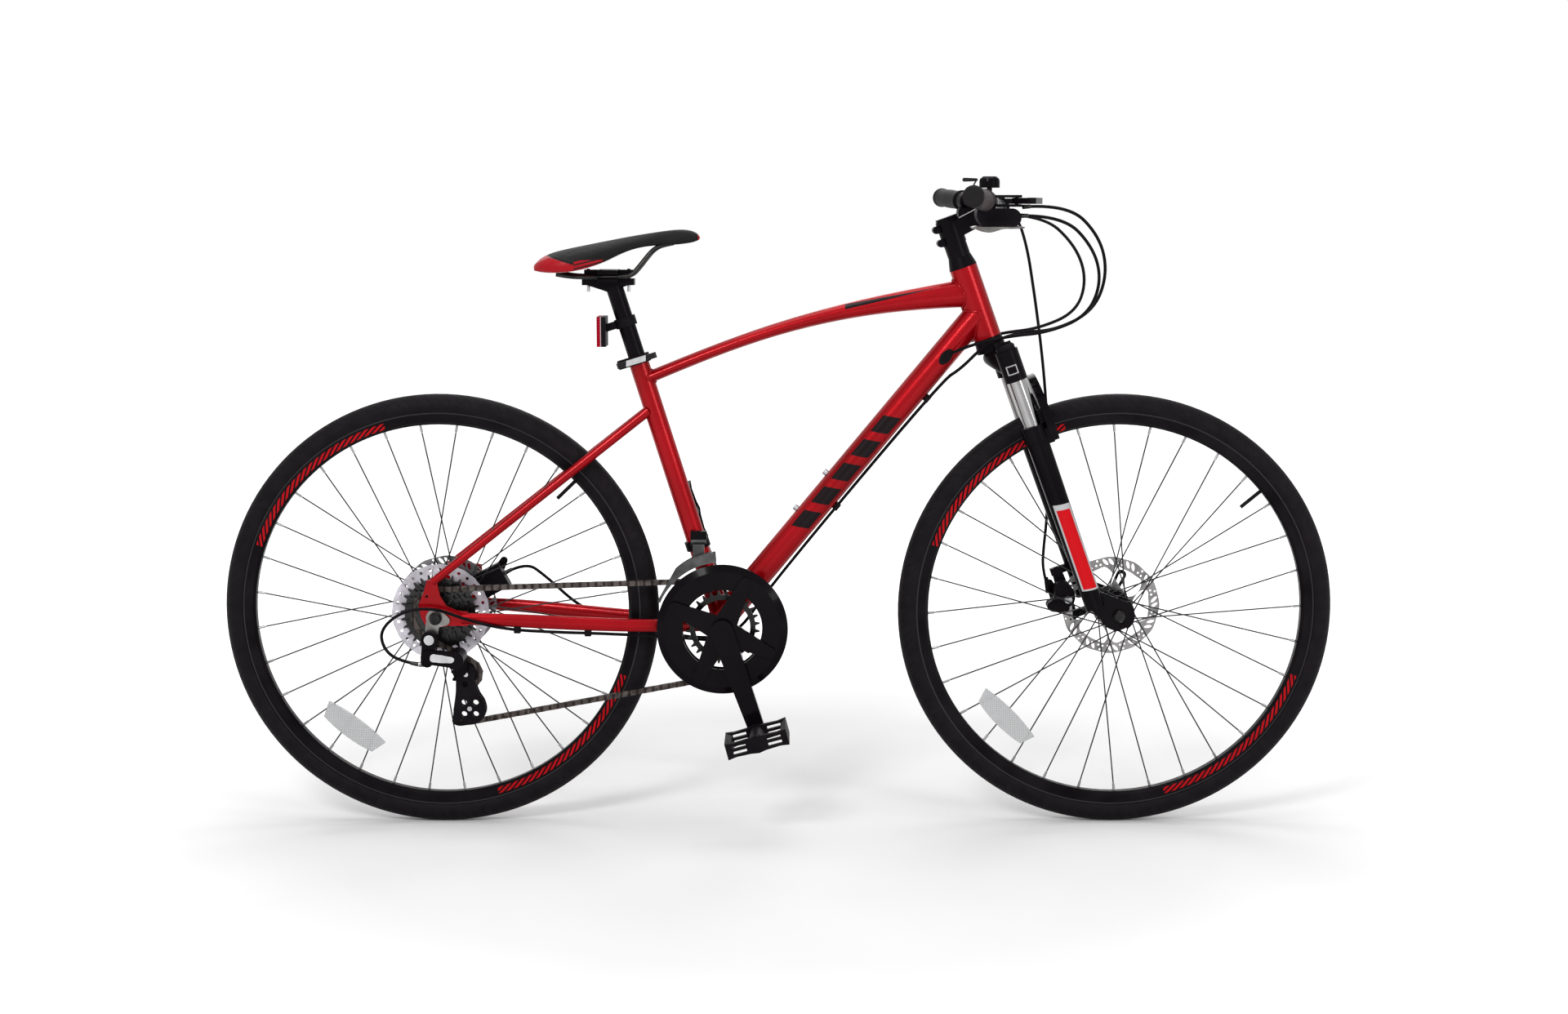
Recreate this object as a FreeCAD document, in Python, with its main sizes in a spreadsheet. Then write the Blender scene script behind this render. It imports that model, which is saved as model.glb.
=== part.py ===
import FreeCAD, Part
import math
import os
import Sketcher
from types import SimpleNamespace

from FreeCAD import Placement, Rotation, Vector

# Hybrid bicycle with suspension fork, disc brakes, triple crank and eight-speed cassette.
# Millimetres. X runs forward, Y to the rider's left, Z up. The origin is on the ground,
# midway between the axles, in the centre plane. The drive side is the -Y side.

sizeList = [
    ("wheelbase", 1080, "rear axle to front axle"),
    ("tyre_width", 38, "round section of the tyre"),
    ("tyre_wall", 3.5, "rubber thickness"),
    ("rim_outer_radius", 319, "edge of the rim flange"),
    ("tyre_height", 29, "rim edge to tread"),
    ("rim_depth", 19.5, "flange edge to inner face"),
    ("rim_width", 24, "across the rim flanges"),
    ("rim_wall", 1.8, "rim flange thickness"),
    ("spoke_diameter", 2.2, "plain wire"),
    ("nipple_diameter", 4, "at the rim"),
    ("nipple_length", 11, "outside the rim"),
    ("spokes_per_flange", 16, "half of the wheel's spokes"),
    ("spoke_crossings", 3, "holes that a spoke leads or trails"),
    ("valve_diameter", 6, "stem"),
    ("valve_length", 40, "inside the rim"),
    ("front_hub_width", 100, "between the fork ends"),
    ("rear_hub_width", 135, "between the dropouts"),
    ("front_axle_diameter", 9, "solid part"),
    ("rear_axle_diameter", 10, "solid part"),
    ("flange_radius", 28, "spoke flanges"),
    ("flange_thickness", 3, "spoke flanges"),
    ("rotor_diameter", 160, "both brakes"),
    ("rotor_thickness", 1.8, "both brakes"),
    ("rotor_track", 17, "width of the braking ring"),
    ("front_rotor_inset", 10.5, "fork end to rotor"),
    ("rear_rotor_inset", 15.3, "dropout to rotor"),
    ("protector_radius", 78, "spoke protector disc"),
    ("reflector_length", 112, "spoke reflector"),
    ("reflector_height", 34, "spoke reflector"),
    ("reflector_depth", 8, "spoke reflector"),
    ("bottom_bracket_drop", 22, "below the axles"),
    ("bracket_clearance", 103.6, "rear tyre to bottom bracket axis"),
    ("seat_angle", 72.5, "degrees"),
    ("seat_tube_length", 452, "bottom bracket to top"),
    ("seat_tube_diameter", 31.8, "outside"),
    ("head_angle", 70.2, "degrees"),
    ("fork_offset", 48.4, "axle ahead of the steering axis"),
    ("head_clearance", 134.6, "front tyre to head tube along the steering axis"),
    ("head_tube_length", 117, "along the steering axis"),
    ("head_tube_diameter", 44, "outside"),
    ("head_tube_bore", 37, "seat of the bearings"),
    ("top_tube_head_height", 46, "section at the head tube"),
    ("top_tube_head_width", 36, "section at the head tube"),
    ("top_tube_seat_height", 19, "section at the seat tube"),
    ("top_tube_seat_width", 29, "section at the seat tube"),
    ("down_tube_height", 42, "section in the plane of the frame"),
    ("down_tube_width", 46, "section across the frame"),
    ("frame_wall", 2.2, "wall of the large tubes"),
    ("shell_width", 68, "bottom bracket shell"),
    ("shell_diameter", 41, "bottom bracket shell"),
    ("shell_bore", 34, "bottom bracket shell"),
    ("seatstay_diameter", 15, "outside"),
    ("chainstay_height", 22, "section"),
    ("chainstay_width", 15, "section"),
    ("dropout_thickness", 6, "plates"),
    ("hanger_thickness", 5, "plate"),
    ("post_diameter", 27.2, "seatpost"),
    ("post_wall", 2.5, "seatpost"),
    ("post_insert", 95, "length inside the seat tube"),
    ("post_height", 116, "seat tube top to clamp"),
    ("collar_wall", 4, "seat clamp"),
    ("collar_height", 14, "seat clamp"),
    ("rail_diameter", 7, "saddle rails"),
    ("rail_spacing", 44, "centre to centre"),
    ("saddle_length", 262, "nose to tail"),
    ("saddle_width", 148, "at the wings"),
    ("steerer_diameter", 28.6, "outside"),
    ("steerer_wall", 3, "tube"),
    ("leg_spacing", 120, "fork legs, centre to centre"),
    ("leg_lead", 16.5, "fork legs ahead of the steering axis"),
    ("stanchion_diameter", 28, "chromed tube"),
    ("stanchion_wall", 2.5, "chromed tube"),
    ("lower_drop", 14.3, "tyre to top of the lower legs"),
    ("fork_travel", 60, "suspension stroke"),
    ("lower_diameter", 38, "lower leg at its top"),
    ("lower_foot_diameter", 30, "lower leg at its foot"),
    ("socket_diameter", 36, "crown socket of a leg"),
    ("socket_height", 50, "crown socket of a leg"),
    ("cone_height", 17, "headset cover"),
    ("spacer_height", 22, "below the stem"),
    ("stem_height", 40, "clamp on the steerer"),
    ("stem_length", 77, "steering axis to bar"),
    ("stem_rise", 10.5, "along the steering axis"),
    ("bar_width", 640, "end to end"),
    ("bar_diameter", 22.2, "at the grips"),
    ("bar_clamp_diameter", 31.8, "at the stem"),
    ("bar_rise", 18, "stem to bar end"),
    ("bar_sweep", 61, "stem to bar end"),
    ("grip_length", 125, "rubber sleeve"),
    ("grip_diameter", 31, "rubber sleeve"),
    ("lever_thickness", 9, "brake lever blade"),
    ("lever_reach", 82, "bar to blade"),
    ("bell_diameter", 31, "dome"),
    ("bell_height", 17, "dome"),
    ("crank_length", 170, "spindle to pedal axle"),
    ("crank_thickness", 13, "arm"),
    ("crank_angle", 19.2, "right arm, degrees ahead of straight down"),
    ("crank_inset", 66, "centre plane to the inner face of the arm"),
    ("spindle_diameter", 17, "crank spindle"),
    ("chain_line", 45, "centre plane to the chain"),
    ("ring_spacing", 8, "between chainrings"),
    ("guard_radius", 104, "chain guard"),
    ("guard_opening", 64, "radius of the guard's opening"),
    ("pedal_length", 98, "front to back"),
    ("pedal_width", 80, "along its axle"),
    ("pedal_height", 26, "tread to tread"),
    ("pedal_tilt", 15, "right pedal, degrees nose up"),
    ("left_pedal_tilt", 107.5, "left pedal, degrees, along the seat tube"),
    ("pedal_axle_diameter", 10, "pedal axle"),
    ("chain_pitch", 12.7, "pin to pin"),
    ("roller_diameter", 7.7, "chain roller"),
    ("plate_height", 8.4, "chain plate"),
    ("plate_thickness", 0.95, "chain plate"),
    ("chain_inside", 2.5, "between the inner plates"),
    ("outer_teeth", 48, "large chainring"),
    ("middle_teeth", 38, "middle chainring"),
    ("inner_teeth", 28, "small chainring"),
    ("pulley_teeth", 11, "derailleur pulleys"),
    ("ring_thickness", 2, "chainrings and pulleys"),
    ("cog_thickness", 1.85, "cassette"),
    ("cog_spacing", 4.8, "cassette"),
    ("pulley_spacing", 56, "derailleur cage"),
    ("cable_diameter", 5, "brake and shift cables"),
    ("running_fit", 0.05, "radial clearance of a turning fit"),
    ("side_gap", 0.3, "between faces that pass each other"),
]
cogTeeth = [11, 13, 15, 17, 20, 23, 26, 30]
chainCog = 4

document = FreeCAD.newDocument("hybrid_bike")
sheet = document.addObject("Spreadsheet::Sheet", "sizes")
for row, (alias, value, note) in enumerate(sizeList, start=1):
    sheet.set("A%d" % row, note)
    sheet.set("B%d" % row, str(value))
    sheet.setAlias("B%d" % row, alias)
document.recompute()


class Formula(float):
    # A length that keeps the sheet formula that it comes from.
    def __new__(cls, value, rule):
        made = float.__new__(cls, value)
        made.rule = rule
        return made

    def joined(self, other, sign, value, swapped=False):
        rules = [self.rule, getattr(other, "rule", repr(float(other)))]
        if swapped:
            rules.reverse()
        return Formula(value, "(%s %s %s)" % (rules[0], sign, rules[1]))

    def __add__(self, other):
        return self.joined(other, "+", float(self) + float(other))

    def __radd__(self, other):
        return self.joined(other, "+", float(self) + float(other), True)

    def __sub__(self, other):
        return self.joined(other, "-", float(self) - float(other))

    def __rsub__(self, other):
        return self.joined(other, "-", float(other) - float(self), True)

    def __mul__(self, other):
        return self.joined(other, "*", float(self) * float(other))

    def __rmul__(self, other):
        return self.joined(other, "*", float(self) * float(other), True)

    def __truediv__(self, other):
        return self.joined(other, "/", float(self) / float(other))

    def __neg__(self):
        return Formula(-float(self), "(-1 * %s)" % self.rule)


size = SimpleNamespace(**{alias: Formula(sheet.get(alias), "sizes." + alias) for alias, value, note in sizeList})
xAxis = Vector(1, 0, 0)
yAxis = Vector(0, 1, 0)
zAxis = Vector(0, 0, 1)
nodes = {}


def bind(item, **values):
    for name, value in values.items():
        if isinstance(value, Formula):
            item.setExpression(name, value.rule)
        else:
            setattr(item, name, float(value))
    return item


def aligned(start, direction):
    return Placement(start, Rotation(zAxis, direction))


def facing(origin, across, normal):
    return Placement(origin, Rotation(across, normal.cross(across), normal, "ZXY"))


def sideways(x, y, z):
    # Sketch X forward, sketch Y up, depth towards the drive side.
    return facing(Vector(x, y, z), xAxis, -yAxis)


def add(kind, name):
    return document.addObject(kind, name)


def cylinder(name, radius, length, start, direction=zAxis):
    item = bind(add("Part::Cylinder", name), Radius=radius, Height=length)
    item.Placement = aligned(start, direction)
    return item


def cone(name, radius, endRadius, length, start, direction=zAxis):
    item = bind(add("Part::Cone", name), Radius1=radius, Radius2=endRadius, Height=length)
    item.Placement = aligned(start, direction)
    return item


def box(name, length, width, height, placement):
    # The box stands on its placement's origin, centred across it.
    item = bind(add("Part::Box", name), Length=length, Width=width, Height=height)
    shift = Placement(Vector(-float(length) / 2, -float(width) / 2, 0), Rotation())
    item.Placement = placement.multiply(shift)
    return item


def cut(name, base, *tools):
    item = add("Part::Cut", name)
    item.Base = base
    item.Tool = tools[0] if len(tools) == 1 else fuse(name + "_tools", *tools)
    return item


def fuse(name, *shapes):
    item = add("Part::MultiFuse", name)
    item.Shapes = list(shapes)
    item.Refine = True
    return item


def sleeve(name, radius, bore, length, start, direction):
    outside = cylinder(name + "_outside", radius, length, start, direction)
    inside = cylinder(name + "_bore", bore, length + 2, start - direction, direction)
    return cut(name, outside, inside)


def feature(name, shape, placement=Placement()):
    item = add("Part::Feature", name)
    item.Shape = shape
    item.Placement = placement
    return item


def polygon(points):
    corners = [Vector(x, y, 0) for x, y in points]
    return Part.makePolygon(corners + corners[:1])


def circle(x, y, radius):
    return Part.Wire(Part.makeCircle(radius, Vector(x, y, 0)))


def belt(first, second):
    # Outline round two circles (x, y, radius): two arcs and the tangents between them.
    x, y, radius = (float(value) for value in first)
    endX, endY, endRadius = (float(value) for value in second)
    length = math.hypot(endX - x, endY - y)
    heading = math.atan2(endY - y, endX - x)
    lean = math.acos((radius - endRadius) / length)

    def rim(centreX, centreY, r, angle):
        return Vector(centreX + r * math.cos(angle), centreY + r * math.sin(angle), 0)

    left, right = heading + lean, heading - lean
    corners = [rim(x, y, radius, left), rim(x, y, radius, right)]
    ends = [rim(endX, endY, endRadius, right), rim(endX, endY, endRadius, left)]
    back = Part.Arc(corners[0], rim(x, y, radius, heading + math.pi), corners[1]).toShape()
    front = Part.Arc(ends[0], rim(endX, endY, endRadius, heading), ends[1]).toShape()
    return Part.Wire([back, Part.makeLine(corners[1], ends[0]), front, Part.makeLine(ends[1], corners[0])])


def slab(name, outline, thickness, placement, *holes):
    # Flat piece: an outline with holes, as deep as its thickness.
    face = Part.Face(outline)
    for hole in holes:
        face = face.cut(Part.Face(hole))
    item = add("Part::Extrusion", name)
    item.Base = feature(name + "_outline", face)
    item.DirMode = "Custom"
    item.Dir = zAxis
    item.Solid = True
    bind(item, LengthFwd=thickness)
    item.Placement = placement
    return item


def body(name):
    return add("PartDesign::Body", name)


def originPlane(owner, role):
    return next(plane for plane in owner.Origin.OriginFeatures if plane.Role == role)


def sketch(owner, name, role, *loops):
    # Closed loops of corners, each corner fixed by its two coordinates.
    item = owner.newObject("Sketcher::SketchObject", name)
    item.AttachmentSupport = (originPlane(owner, role), [""])
    item.MapMode = "FlatFace"

    for loop in loops:
        first = len(item.Geometry)
        corners = [Vector(float(x), float(y), 0) for x, y in loop]
        count = len(corners)
        for index in range(count):
            item.addGeometry(Part.LineSegment(corners[index], corners[(index + 1) % count]))
        for index in range(count):
            line = first + index
            item.addConstraint(Sketcher.Constraint("Coincident", line, 2, first + (index + 1) % count, 1))
            for kind, value in zip(("DistanceX", "DistanceY"), loop[index]):
                fixed = item.addConstraint(Sketcher.Constraint(kind, line, 1, float(value)))
                if isinstance(value, Formula):
                    item.setExpression("Constraints[%d]" % fixed, value.rule)
    return item


def spun(name, start, direction, *loops):
    # Turned piece: loops of (radius, distance along the axis).
    owner = body(name)
    profile = sketch(owner, name + "_profile", "XZ_Plane", *loops)
    turned = owner.newObject("PartDesign::Revolution", name + "_turned")
    turned.Profile = profile
    turned.ReferenceAxis = (profile, ["V_Axis"])
    turned.Angle = 360
    owner.Placement = aligned(start, direction)
    return owner


def ellipse(name, height, width, centre, normal):
    # Section of a tube: height in the frame's plane, width across it.
    tall = float(height) >= float(width)
    item = add("Part::Ellipse", name)
    bind(item, MajorRadius=(height if tall else width) / 2, MinorRadius=(width if tall else height) / 2)
    upward = normal.cross(yAxis)
    item.Placement = facing(centre, upward if tall else yAxis, normal)
    return item


def loft(name, sections, ruled=False):
    item = add("Part::Loft", name)
    item.Sections = sections
    item.Solid = True
    item.Ruled = ruled
    return item


def rounded(points, share=0.45):
    # Path of straight runs joined by tangent arcs, each as large as its two runs allow.
    edges = []
    radii = []
    here = points[0]
    for before, corner, after in zip(points, points[1:], points[2:]):
        inward = (before - corner).normalize()
        outward = (after - corner).normalize()
        turn = math.pi - inward.getAngle(outward)
        reach = share * min(before.distanceToPoint(corner), after.distanceToPoint(corner))
        radius = reach / math.tan(turn / 2)
        bisector = (inward + outward).normalize()
        middle = corner + bisector * (radius / math.cos(turn / 2) - radius)
        start = corner + inward * reach
        edges.append(Part.makeLine(here, start))
        here = corner + outward * reach
        edges.append(Part.Arc(start, middle, here).toShape())
        radii.append(radius)
    edges.append(Part.makeLine(here, points[-1]))
    return Part.Wire(edges), radii


def swept(name, radius, points, share=0.45):
    path, radii = rounded(points, share)
    spine = feature(name + "_path", path)
    section = bind(add("Part::Circle", name + "_section"), Radius=radius)
    section.Placement = aligned(points[0], points[1] - points[0])
    item = add("Part::Sweep", name)
    item.Sections = [section]
    item.Spine = (spine, ["Edge%d" % (index + 1) for index in range(len(path.Edges))])
    item.Solid = True
    item.Frenet = False
    sweeps.append((item, float(radius), path.Length, radii))
    return item


def group(label, *pieces):
    item = add("Part::Compound", label)
    item.Links = list(pieces)
    return node(label, item)


def node(label, item):
    item.Label = label
    nodes[label] = item
    return item


sweeps = []

# Sizes that follow the wheel
wheelRadius = size.rim_outer_radius + size.tyre_height
chainstayLength = wheelRadius + size.bracket_clearance
lowerTop = wheelRadius - size.lower_drop

# Main points of the frame
rearAxle = Vector(-size.wheelbase / 2, 0, wheelRadius)
frontAxle = Vector(size.wheelbase / 2, 0, wheelRadius)
bracket = rearAxle + Vector(
    math.sqrt(chainstayLength**2 - size.bottom_bracket_drop**2), 0, -size.bottom_bracket_drop
)
headLean = math.radians(size.head_angle)
seatLean = math.radians(size.seat_angle)
steerUp = Vector(-math.cos(headLean), 0, math.sin(headLean))
steerAhead = Vector(math.sin(headLean), 0, math.cos(headLean))
seatUp = Vector(-math.cos(seatLean), 0, math.sin(seatLean))
seatAhead = Vector(math.sin(seatLean), 0, math.cos(seatLean))
steerFoot = frontAxle - steerAhead * size.fork_offset


def steer(along, ahead=0, side=0):
    return steerFoot + steerUp * float(along) + steerAhead * float(ahead) + yAxis * float(side)


def seat(along, ahead=0, side=0):
    return bracket + seatUp * float(along) + seatAhead * float(ahead) + yAxis * float(side)


def radial(axle, angle, radius, y):
    # Point of a wheel, its angle clockwise from the top as seen from the drive side.
    turn = math.radians(angle)
    return axle + Vector(math.sin(turn) * radius, y, math.cos(turn) * radius)


frontRotorY = size.front_hub_width / 2 - size.front_rotor_inset
rearRotorY = size.rear_hub_width / 2 - size.rear_rotor_inset
headBottom = wheelRadius + size.head_clearance
headTop = headBottom + size.head_tube_length

# Main frame: head, top, down and seat tubes and the bottom bracket shell
topTubeHead = steer(headTop - 42)
topTubeSeat = seat(size.seat_tube_length - 40)
topTubeRun = topTubeSeat - topTubeHead
topTubeStations = [(0.0, 0.0, 1.0), (0.15, 11.5, 0.62), (0.4, 23.5, 0.2), (0.7, 20.0, 0.0), (1.0, 0.0, 0.02)]


def topTubeSections(prefix, wall, first=0):
    # The tube arches above the straight line between its ends and thins towards the seat.
    sections = []
    for index, (along, arch, share) in enumerate(topTubeStations[first:]):
        centre = topTubeHead + topTubeRun * along + Vector(0, 0, arch)
        height = size.top_tube_seat_height + (size.top_tube_head_height - size.top_tube_seat_height) * share
        width = size.top_tube_seat_width + (size.top_tube_head_width - size.top_tube_seat_width) * share
        slope = 0.19 + 0.17 * along
        normal = Vector(-1, 0, -slope).normalize()
        name = "%s_%d" % (prefix, index)
        sections.append(ellipse(name, height - wall * 2, width - wall * 2, centre, normal))
    return sections


downTubeHead = steer(headBottom + 42)
downTubeRun = bracket + Vector(-4, 0, 4) - downTubeHead
downTubeUp = Vector(-downTubeRun.z, 0, downTubeRun.x).normalize() * -1


def downTube(share, above=0, side=0):
    return downTubeHead + downTubeRun * share + downTubeUp * float(above) + yAxis * float(side)


def downTubeSections(prefix, wall, shares):
    normal = Vector(downTubeRun).normalize()
    return [
        ellipse(
            "%s_%d" % (prefix, index),
            size.down_tube_height - wall * 2,
            size.down_tube_width - wall * 2,
            downTube(share),
            normal,
        )
        for index, share in enumerate(shares)
    ]


cablePort = downTube(0.128, -4)


def mainFrame():
    headTube = cylinder("head_tube", size.head_tube_diameter / 2, size.head_tube_length, steer(headBottom), steerUp)
    seatTube = cylinder("seat_tube", size.seat_tube_diameter / 2, size.seat_tube_length, bracket, seatUp)
    shellStart = bracket - yAxis * (size.shell_width / 2)
    shell = cylinder("bottom_shell", size.shell_diameter / 2, size.shell_width, shellStart, yAxis)
    topTube = loft("top_tube", topTubeSections("top_tube_section", 0))
    down = loft("down_tube", downTubeSections("down_tube_section", 0, (0, 1)), True)
    welded = fuse("welded_tubes", headTube, seatTube, shell, topTube, down)
    portStart = cablePort - yAxis * size.down_tube_width
    bores = [
        cylinder("head_bore", size.head_tube_bore / 2, size.head_tube_length + 2, steer(headBottom - 1), steerUp),
        cylinder("post_bore", size.post_diameter / 2 + size.running_fit, size.seat_tube_length, seat(60), seatUp),
        cylinder("bearing_bore", size.shell_bore / 2, size.shell_width + 2, shellStart - yAxis, yAxis),
        loft("down_tube_hollow", downTubeSections("down_tube_inside", size.frame_wall, (0.09, 0.93)), True),
        loft("top_tube_hollow", topTubeSections("top_tube_inside", size.frame_wall, 1)),
        cylinder("cable_port", size.cable_diameter / 2 + 4.5, size.down_tube_width * 2, portStart, yAxis),
    ]
    return node("main_frame", cut("main_frame", welded, *bores))


mainFrame()


# Rear stays with dropouts and bridges
rightDropoutFace = -size.rear_hub_width / 2
dropoutOutline = [
    (-13, 60), (2, 58), (7, 34), (17, 18), (33, 11), (50, 9), (50, -13), (20, -13),
    (5.5, -15), (5.5, 5.1), (-5.5, 5.1), (-5.5, -15), (-16, -14), (-24, 2), (-27, 20), (-19, 40),
]
brakeTab = [(-4, 50), (24, 66), (54, 62), (55, 40), (44, 9), (10, 20)]


def stays():
    pieces = []
    stayRun = bracket.x - rearAxle.x
    for side in (-1, 1):
        outer = side * size.rear_hub_width / 2
        middle = outer + side * size.dropout_thickness / 2
        tag = "right" if side < 0 else "left"
        high = seat(size.seat_tube_length - 89, -9, side * 10)
        low = rearAxle + Vector(-5, middle, 56)
        path = low - high
        seatstay = cone(
            tag + "_seatstay", size.seatstay_diameter / 2 + 0.5, size.seatstay_diameter / 2 - 1,
            path.Length, high, path,
        )
        stations = [
            (rearAxle + Vector(40, middle, -2), 0.8, 0.72),
            (rearAxle + Vector(stayRun * 0.42121, side * 56, -11), 1.0, 1.0),
            (rearAxle + Vector(stayRun * 0.70498, side * 38, -19), 0.95, 1.0),
            (bracket + Vector(-14, side * 24, 2), 0.95, 0.95),
        ]
        sections = []
        for index, (point, tall, wide) in enumerate(stations):
            before = stations[max(index - 1, 0)][0]
            after = stations[min(index + 1, len(stations) - 1)][0]
            normal = (after - before).normalize()
            name = "%s_chainstay_%d" % (tag, index)
            sections.append(ellipse(name, size.chainstay_height * tall, size.chainstay_width * wide, point, normal))
        chainstay = loft(tag + "_chainstay", sections)
        plateStart = rightDropoutFace if side < 0 else -rightDropoutFace + size.dropout_thickness
        place = sideways(rearAxle.x, plateStart, rearAxle.z)
        plate = slab(tag + "_dropout", polygon(dropoutOutline), size.dropout_thickness, place, circle(-14, 34, 2.5))
        pieces += [seatstay, chainstay, plate]
        if side > 0:
            pieces.append(slab("brake_tab", polygon(brakeTab), size.dropout_thickness, place))
        if side < 0:
            bridgeAt = high + path * 0.15
    pieces.append(cylinder("stay_bridge", 6.5, -2 * bridgeAt.y, bridgeAt, yAxis))
    pieces.append(cylinder("chainstay_bridge", 6, 60, rearAxle + Vector(wheelRadius + 33, -30, -22), yAxis))
    welded = fuse("welded_stays", *pieces)
    seatGap = cylinder("stay_mitre", size.seat_tube_diameter / 2, size.seat_tube_length, bracket, seatUp)
    shellStart = bracket - yAxis * (size.shell_width / 2 + 5)
    shellGap = cylinder("shell_mitre", size.shell_diameter / 2, size.shell_width + 10, shellStart, yAxis)
    return node("rear_stays", cut("rear_stays", welded, seatGap, shellGap))


stays()

# Bearings of the head tube and the bottom bracket
cupLength = 9.0


def bearingCups():
    steererHole = size.steerer_diameter / 2 + size.running_fit
    spindleHole = size.spindle_diameter / 2 + size.running_fit
    half = size.shell_width / 2
    pieces = [
        sleeve("lower_bearing", size.head_tube_bore / 2, steererHole, cupLength, steer(headBottom), steerUp),
        sleeve("upper_bearing", size.head_tube_bore / 2, steererHole, cupLength, steer(headTop - cupLength), steerUp),
        sleeve("right_bearing", size.shell_bore / 2, spindleHole, 14, bracket - yAxis * half, yAxis),
        sleeve("left_bearing", size.shell_bore / 2, spindleHole, 14, bracket + yAxis * (half - 14), yAxis),
    ]
    return group("bearing_cups", *pieces)


bearingCups()

# Seat: clamp collar with its lever, post, saddle and rear reflector
collarTop = size.seat_tube_length
leverPivot = (collarTop - size.collar_height / 2, -29, -16)


def seatClamp():
    radius = size.seat_tube_diameter / 2
    start = seat(collarTop - size.collar_height)
    ring = cylinder("collar_outside", radius + size.collar_wall, size.collar_height, start, seatUp)
    earsPlace = facing(seat(collarTop - size.collar_height, -24), seatAhead, seatUp)
    ears = box("collar_ears", 16, 22, size.collar_height, earsPlace)
    tube = cylinder("collar_bore", radius, size.collar_height + 2, start - seatUp, seatUp)
    slitPlace = facing(start - seatAhead * 24 - seatUp, seatAhead, seatUp)
    slit = box("collar_slit", 30, 2.5, size.collar_height + 2, slitPlace)
    return node("seat_clamp", cut("seat_clamp", fuse("collar_body", ring, ears), tube, slit))


def seatClampLever():
    along, ahead, side = leverPivot
    centre = seat(along, ahead, side)
    height = 9.0
    eye = cylinder("clamp_eye", 4.7, height, centre - seatUp * (height / 2), seatUp)
    arm = slab(
        "clamp_arm", belt((0, -5.3, 3.5), (57, -11.3, 4.5)), height,
        facing(centre - seatUp * (height / 2), seatAhead, seatUp),
    )
    return node("seat_clamp_lever", fuse("seat_clamp_lever", eye, arm))


seatClamp()
seatClampLever()
postTop = size.seat_tube_length + size.post_height
railLevel = seat(postTop).z + 14
clampX = seat(postTop).x - 8


def seatPost():
    start = seat(size.seat_tube_length - size.post_insert)
    length = size.post_insert + size.post_height
    tube = cylinder("post_tube", size.post_diameter / 2, length, start, seatUp)
    hollow = cylinder("post_hollow", size.post_diameter / 2 - size.post_wall, length - 6, start - seatUp, seatUp)
    headAt = Vector(clampX, 0, railLevel - size.rail_diameter / 2 - 10)
    cradle = box("post_cradle", 82, 30, 10, Placement(headAt, Rotation()))
    overRails = Vector(clampX, 0, railLevel + size.rail_diameter / 2)
    upper = box("rail_clamp", 32, size.rail_spacing + 14, 7, Placement(overRails, Rotation()))
    lower = box(
        "rail_cradle", 32, size.rail_spacing + 14, 5,
        Placement(Vector(clampX, 0, railLevel - size.rail_diameter / 2 - 5), Rotation()),
    )
    bolts = [
        cylinder("post_bolt_%d" % index, 2.5, 36, Vector(clampX + shift, 0, railLevel - 24))
        for index, shift in enumerate((-32, 32))
    ]
    bridge = box("clamp_bridge", 76, 14, 7, Placement(overRails, Rotation()))
    whole = fuse("post_parts", tube, cradle, upper, lower, bridge, *bolts)
    return node("seatpost", cut("seatpost", whole, hollow))


def saddleRails():
    rails = []
    for side in (-1, 1):
        half = side * size.rail_spacing / 2
        points = [
            Vector(clampX + 76, side * 11, railLevel + 43.5),
            Vector(clampX + 62, side * 13, railLevel + 30),
            Vector(clampX + 34, half, railLevel),
            Vector(clampX - 34, half, railLevel),
            Vector(clampX - 76, side * 30, railLevel + 3.5),
        ]
        rails.append(swept("right_rail" if side < 0 else "left_rail", size.rail_diameter / 2, points, 0.4))
    return group("saddle_rails", *rails)


# Share of the length from the tail, half width share, top and underside above the rails
saddleStations = [
    (0.0, 0.56, 19, 12), (0.05, 0.8, 32, 8), (0.2, 1.0, 44, 8), (0.34, 0.92, 51, 15), (0.5, 0.6, 59, 33),
    (0.68, 0.33, 68, 47), (0.86, 0.25, 75, 50), (0.96, 0.2, 72, 54), (1.0, 0.11, 65, 58),
]


def saddleSection(index, x, half, top, low):
    # Flat underside, drawn-in sides and a crowned top.
    rise = top - low
    edge = Vector(x, half, low)
    shoulder = Vector(x, half * 0.74, top - rise * 0.16)
    flank = Vector(x, half * 0.99, low + rise * 0.5)
    crown = Vector(x, 0, top)

    def mirrored(point):
        return Vector(point.x, -point.y, point.z)

    edges = [
        Part.makeLine(mirrored(edge), edge),
        Part.Arc(edge, flank, shoulder).toShape(),
        Part.Arc(shoulder, crown, mirrored(shoulder)).toShape(),
        Part.Arc(mirrored(shoulder), mirrored(flank), mirrored(edge)).toShape(),
    ]
    return feature("saddle_section_%d" % index, Part.Wire(edges))


def saddle():
    tail = clampX - 116
    sections = []
    for index, (share, half, top, low) in enumerate(saddleStations):
        x = tail + size.saddle_length * share
        sections.append(saddleSection(index, x, size.saddle_width / 2 * half, railLevel + top, railLevel + low))
    return node("saddle", loft("saddle", sections))


def rearReflector():
    along = collarTop + 48
    band = sleeve("reflector_band", size.post_diameter / 2 + 3.5, size.post_diameter / 2, 15, seat(along), seatUp)
    arm = box("reflector_arm", 20, 10, 12, facing(seat(along + 1.5, -25), seatAhead, seatUp))
    lens = box("reflector_lens", 14, 52, 47, Placement(seat(along - 10, -38) + Vector(-6, 0, -10), Rotation()))
    return node("rear_reflector", fuse("rear_reflector", band, arm, lens))


seatPost()
saddleRails()
saddle()
rearReflector()

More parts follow.
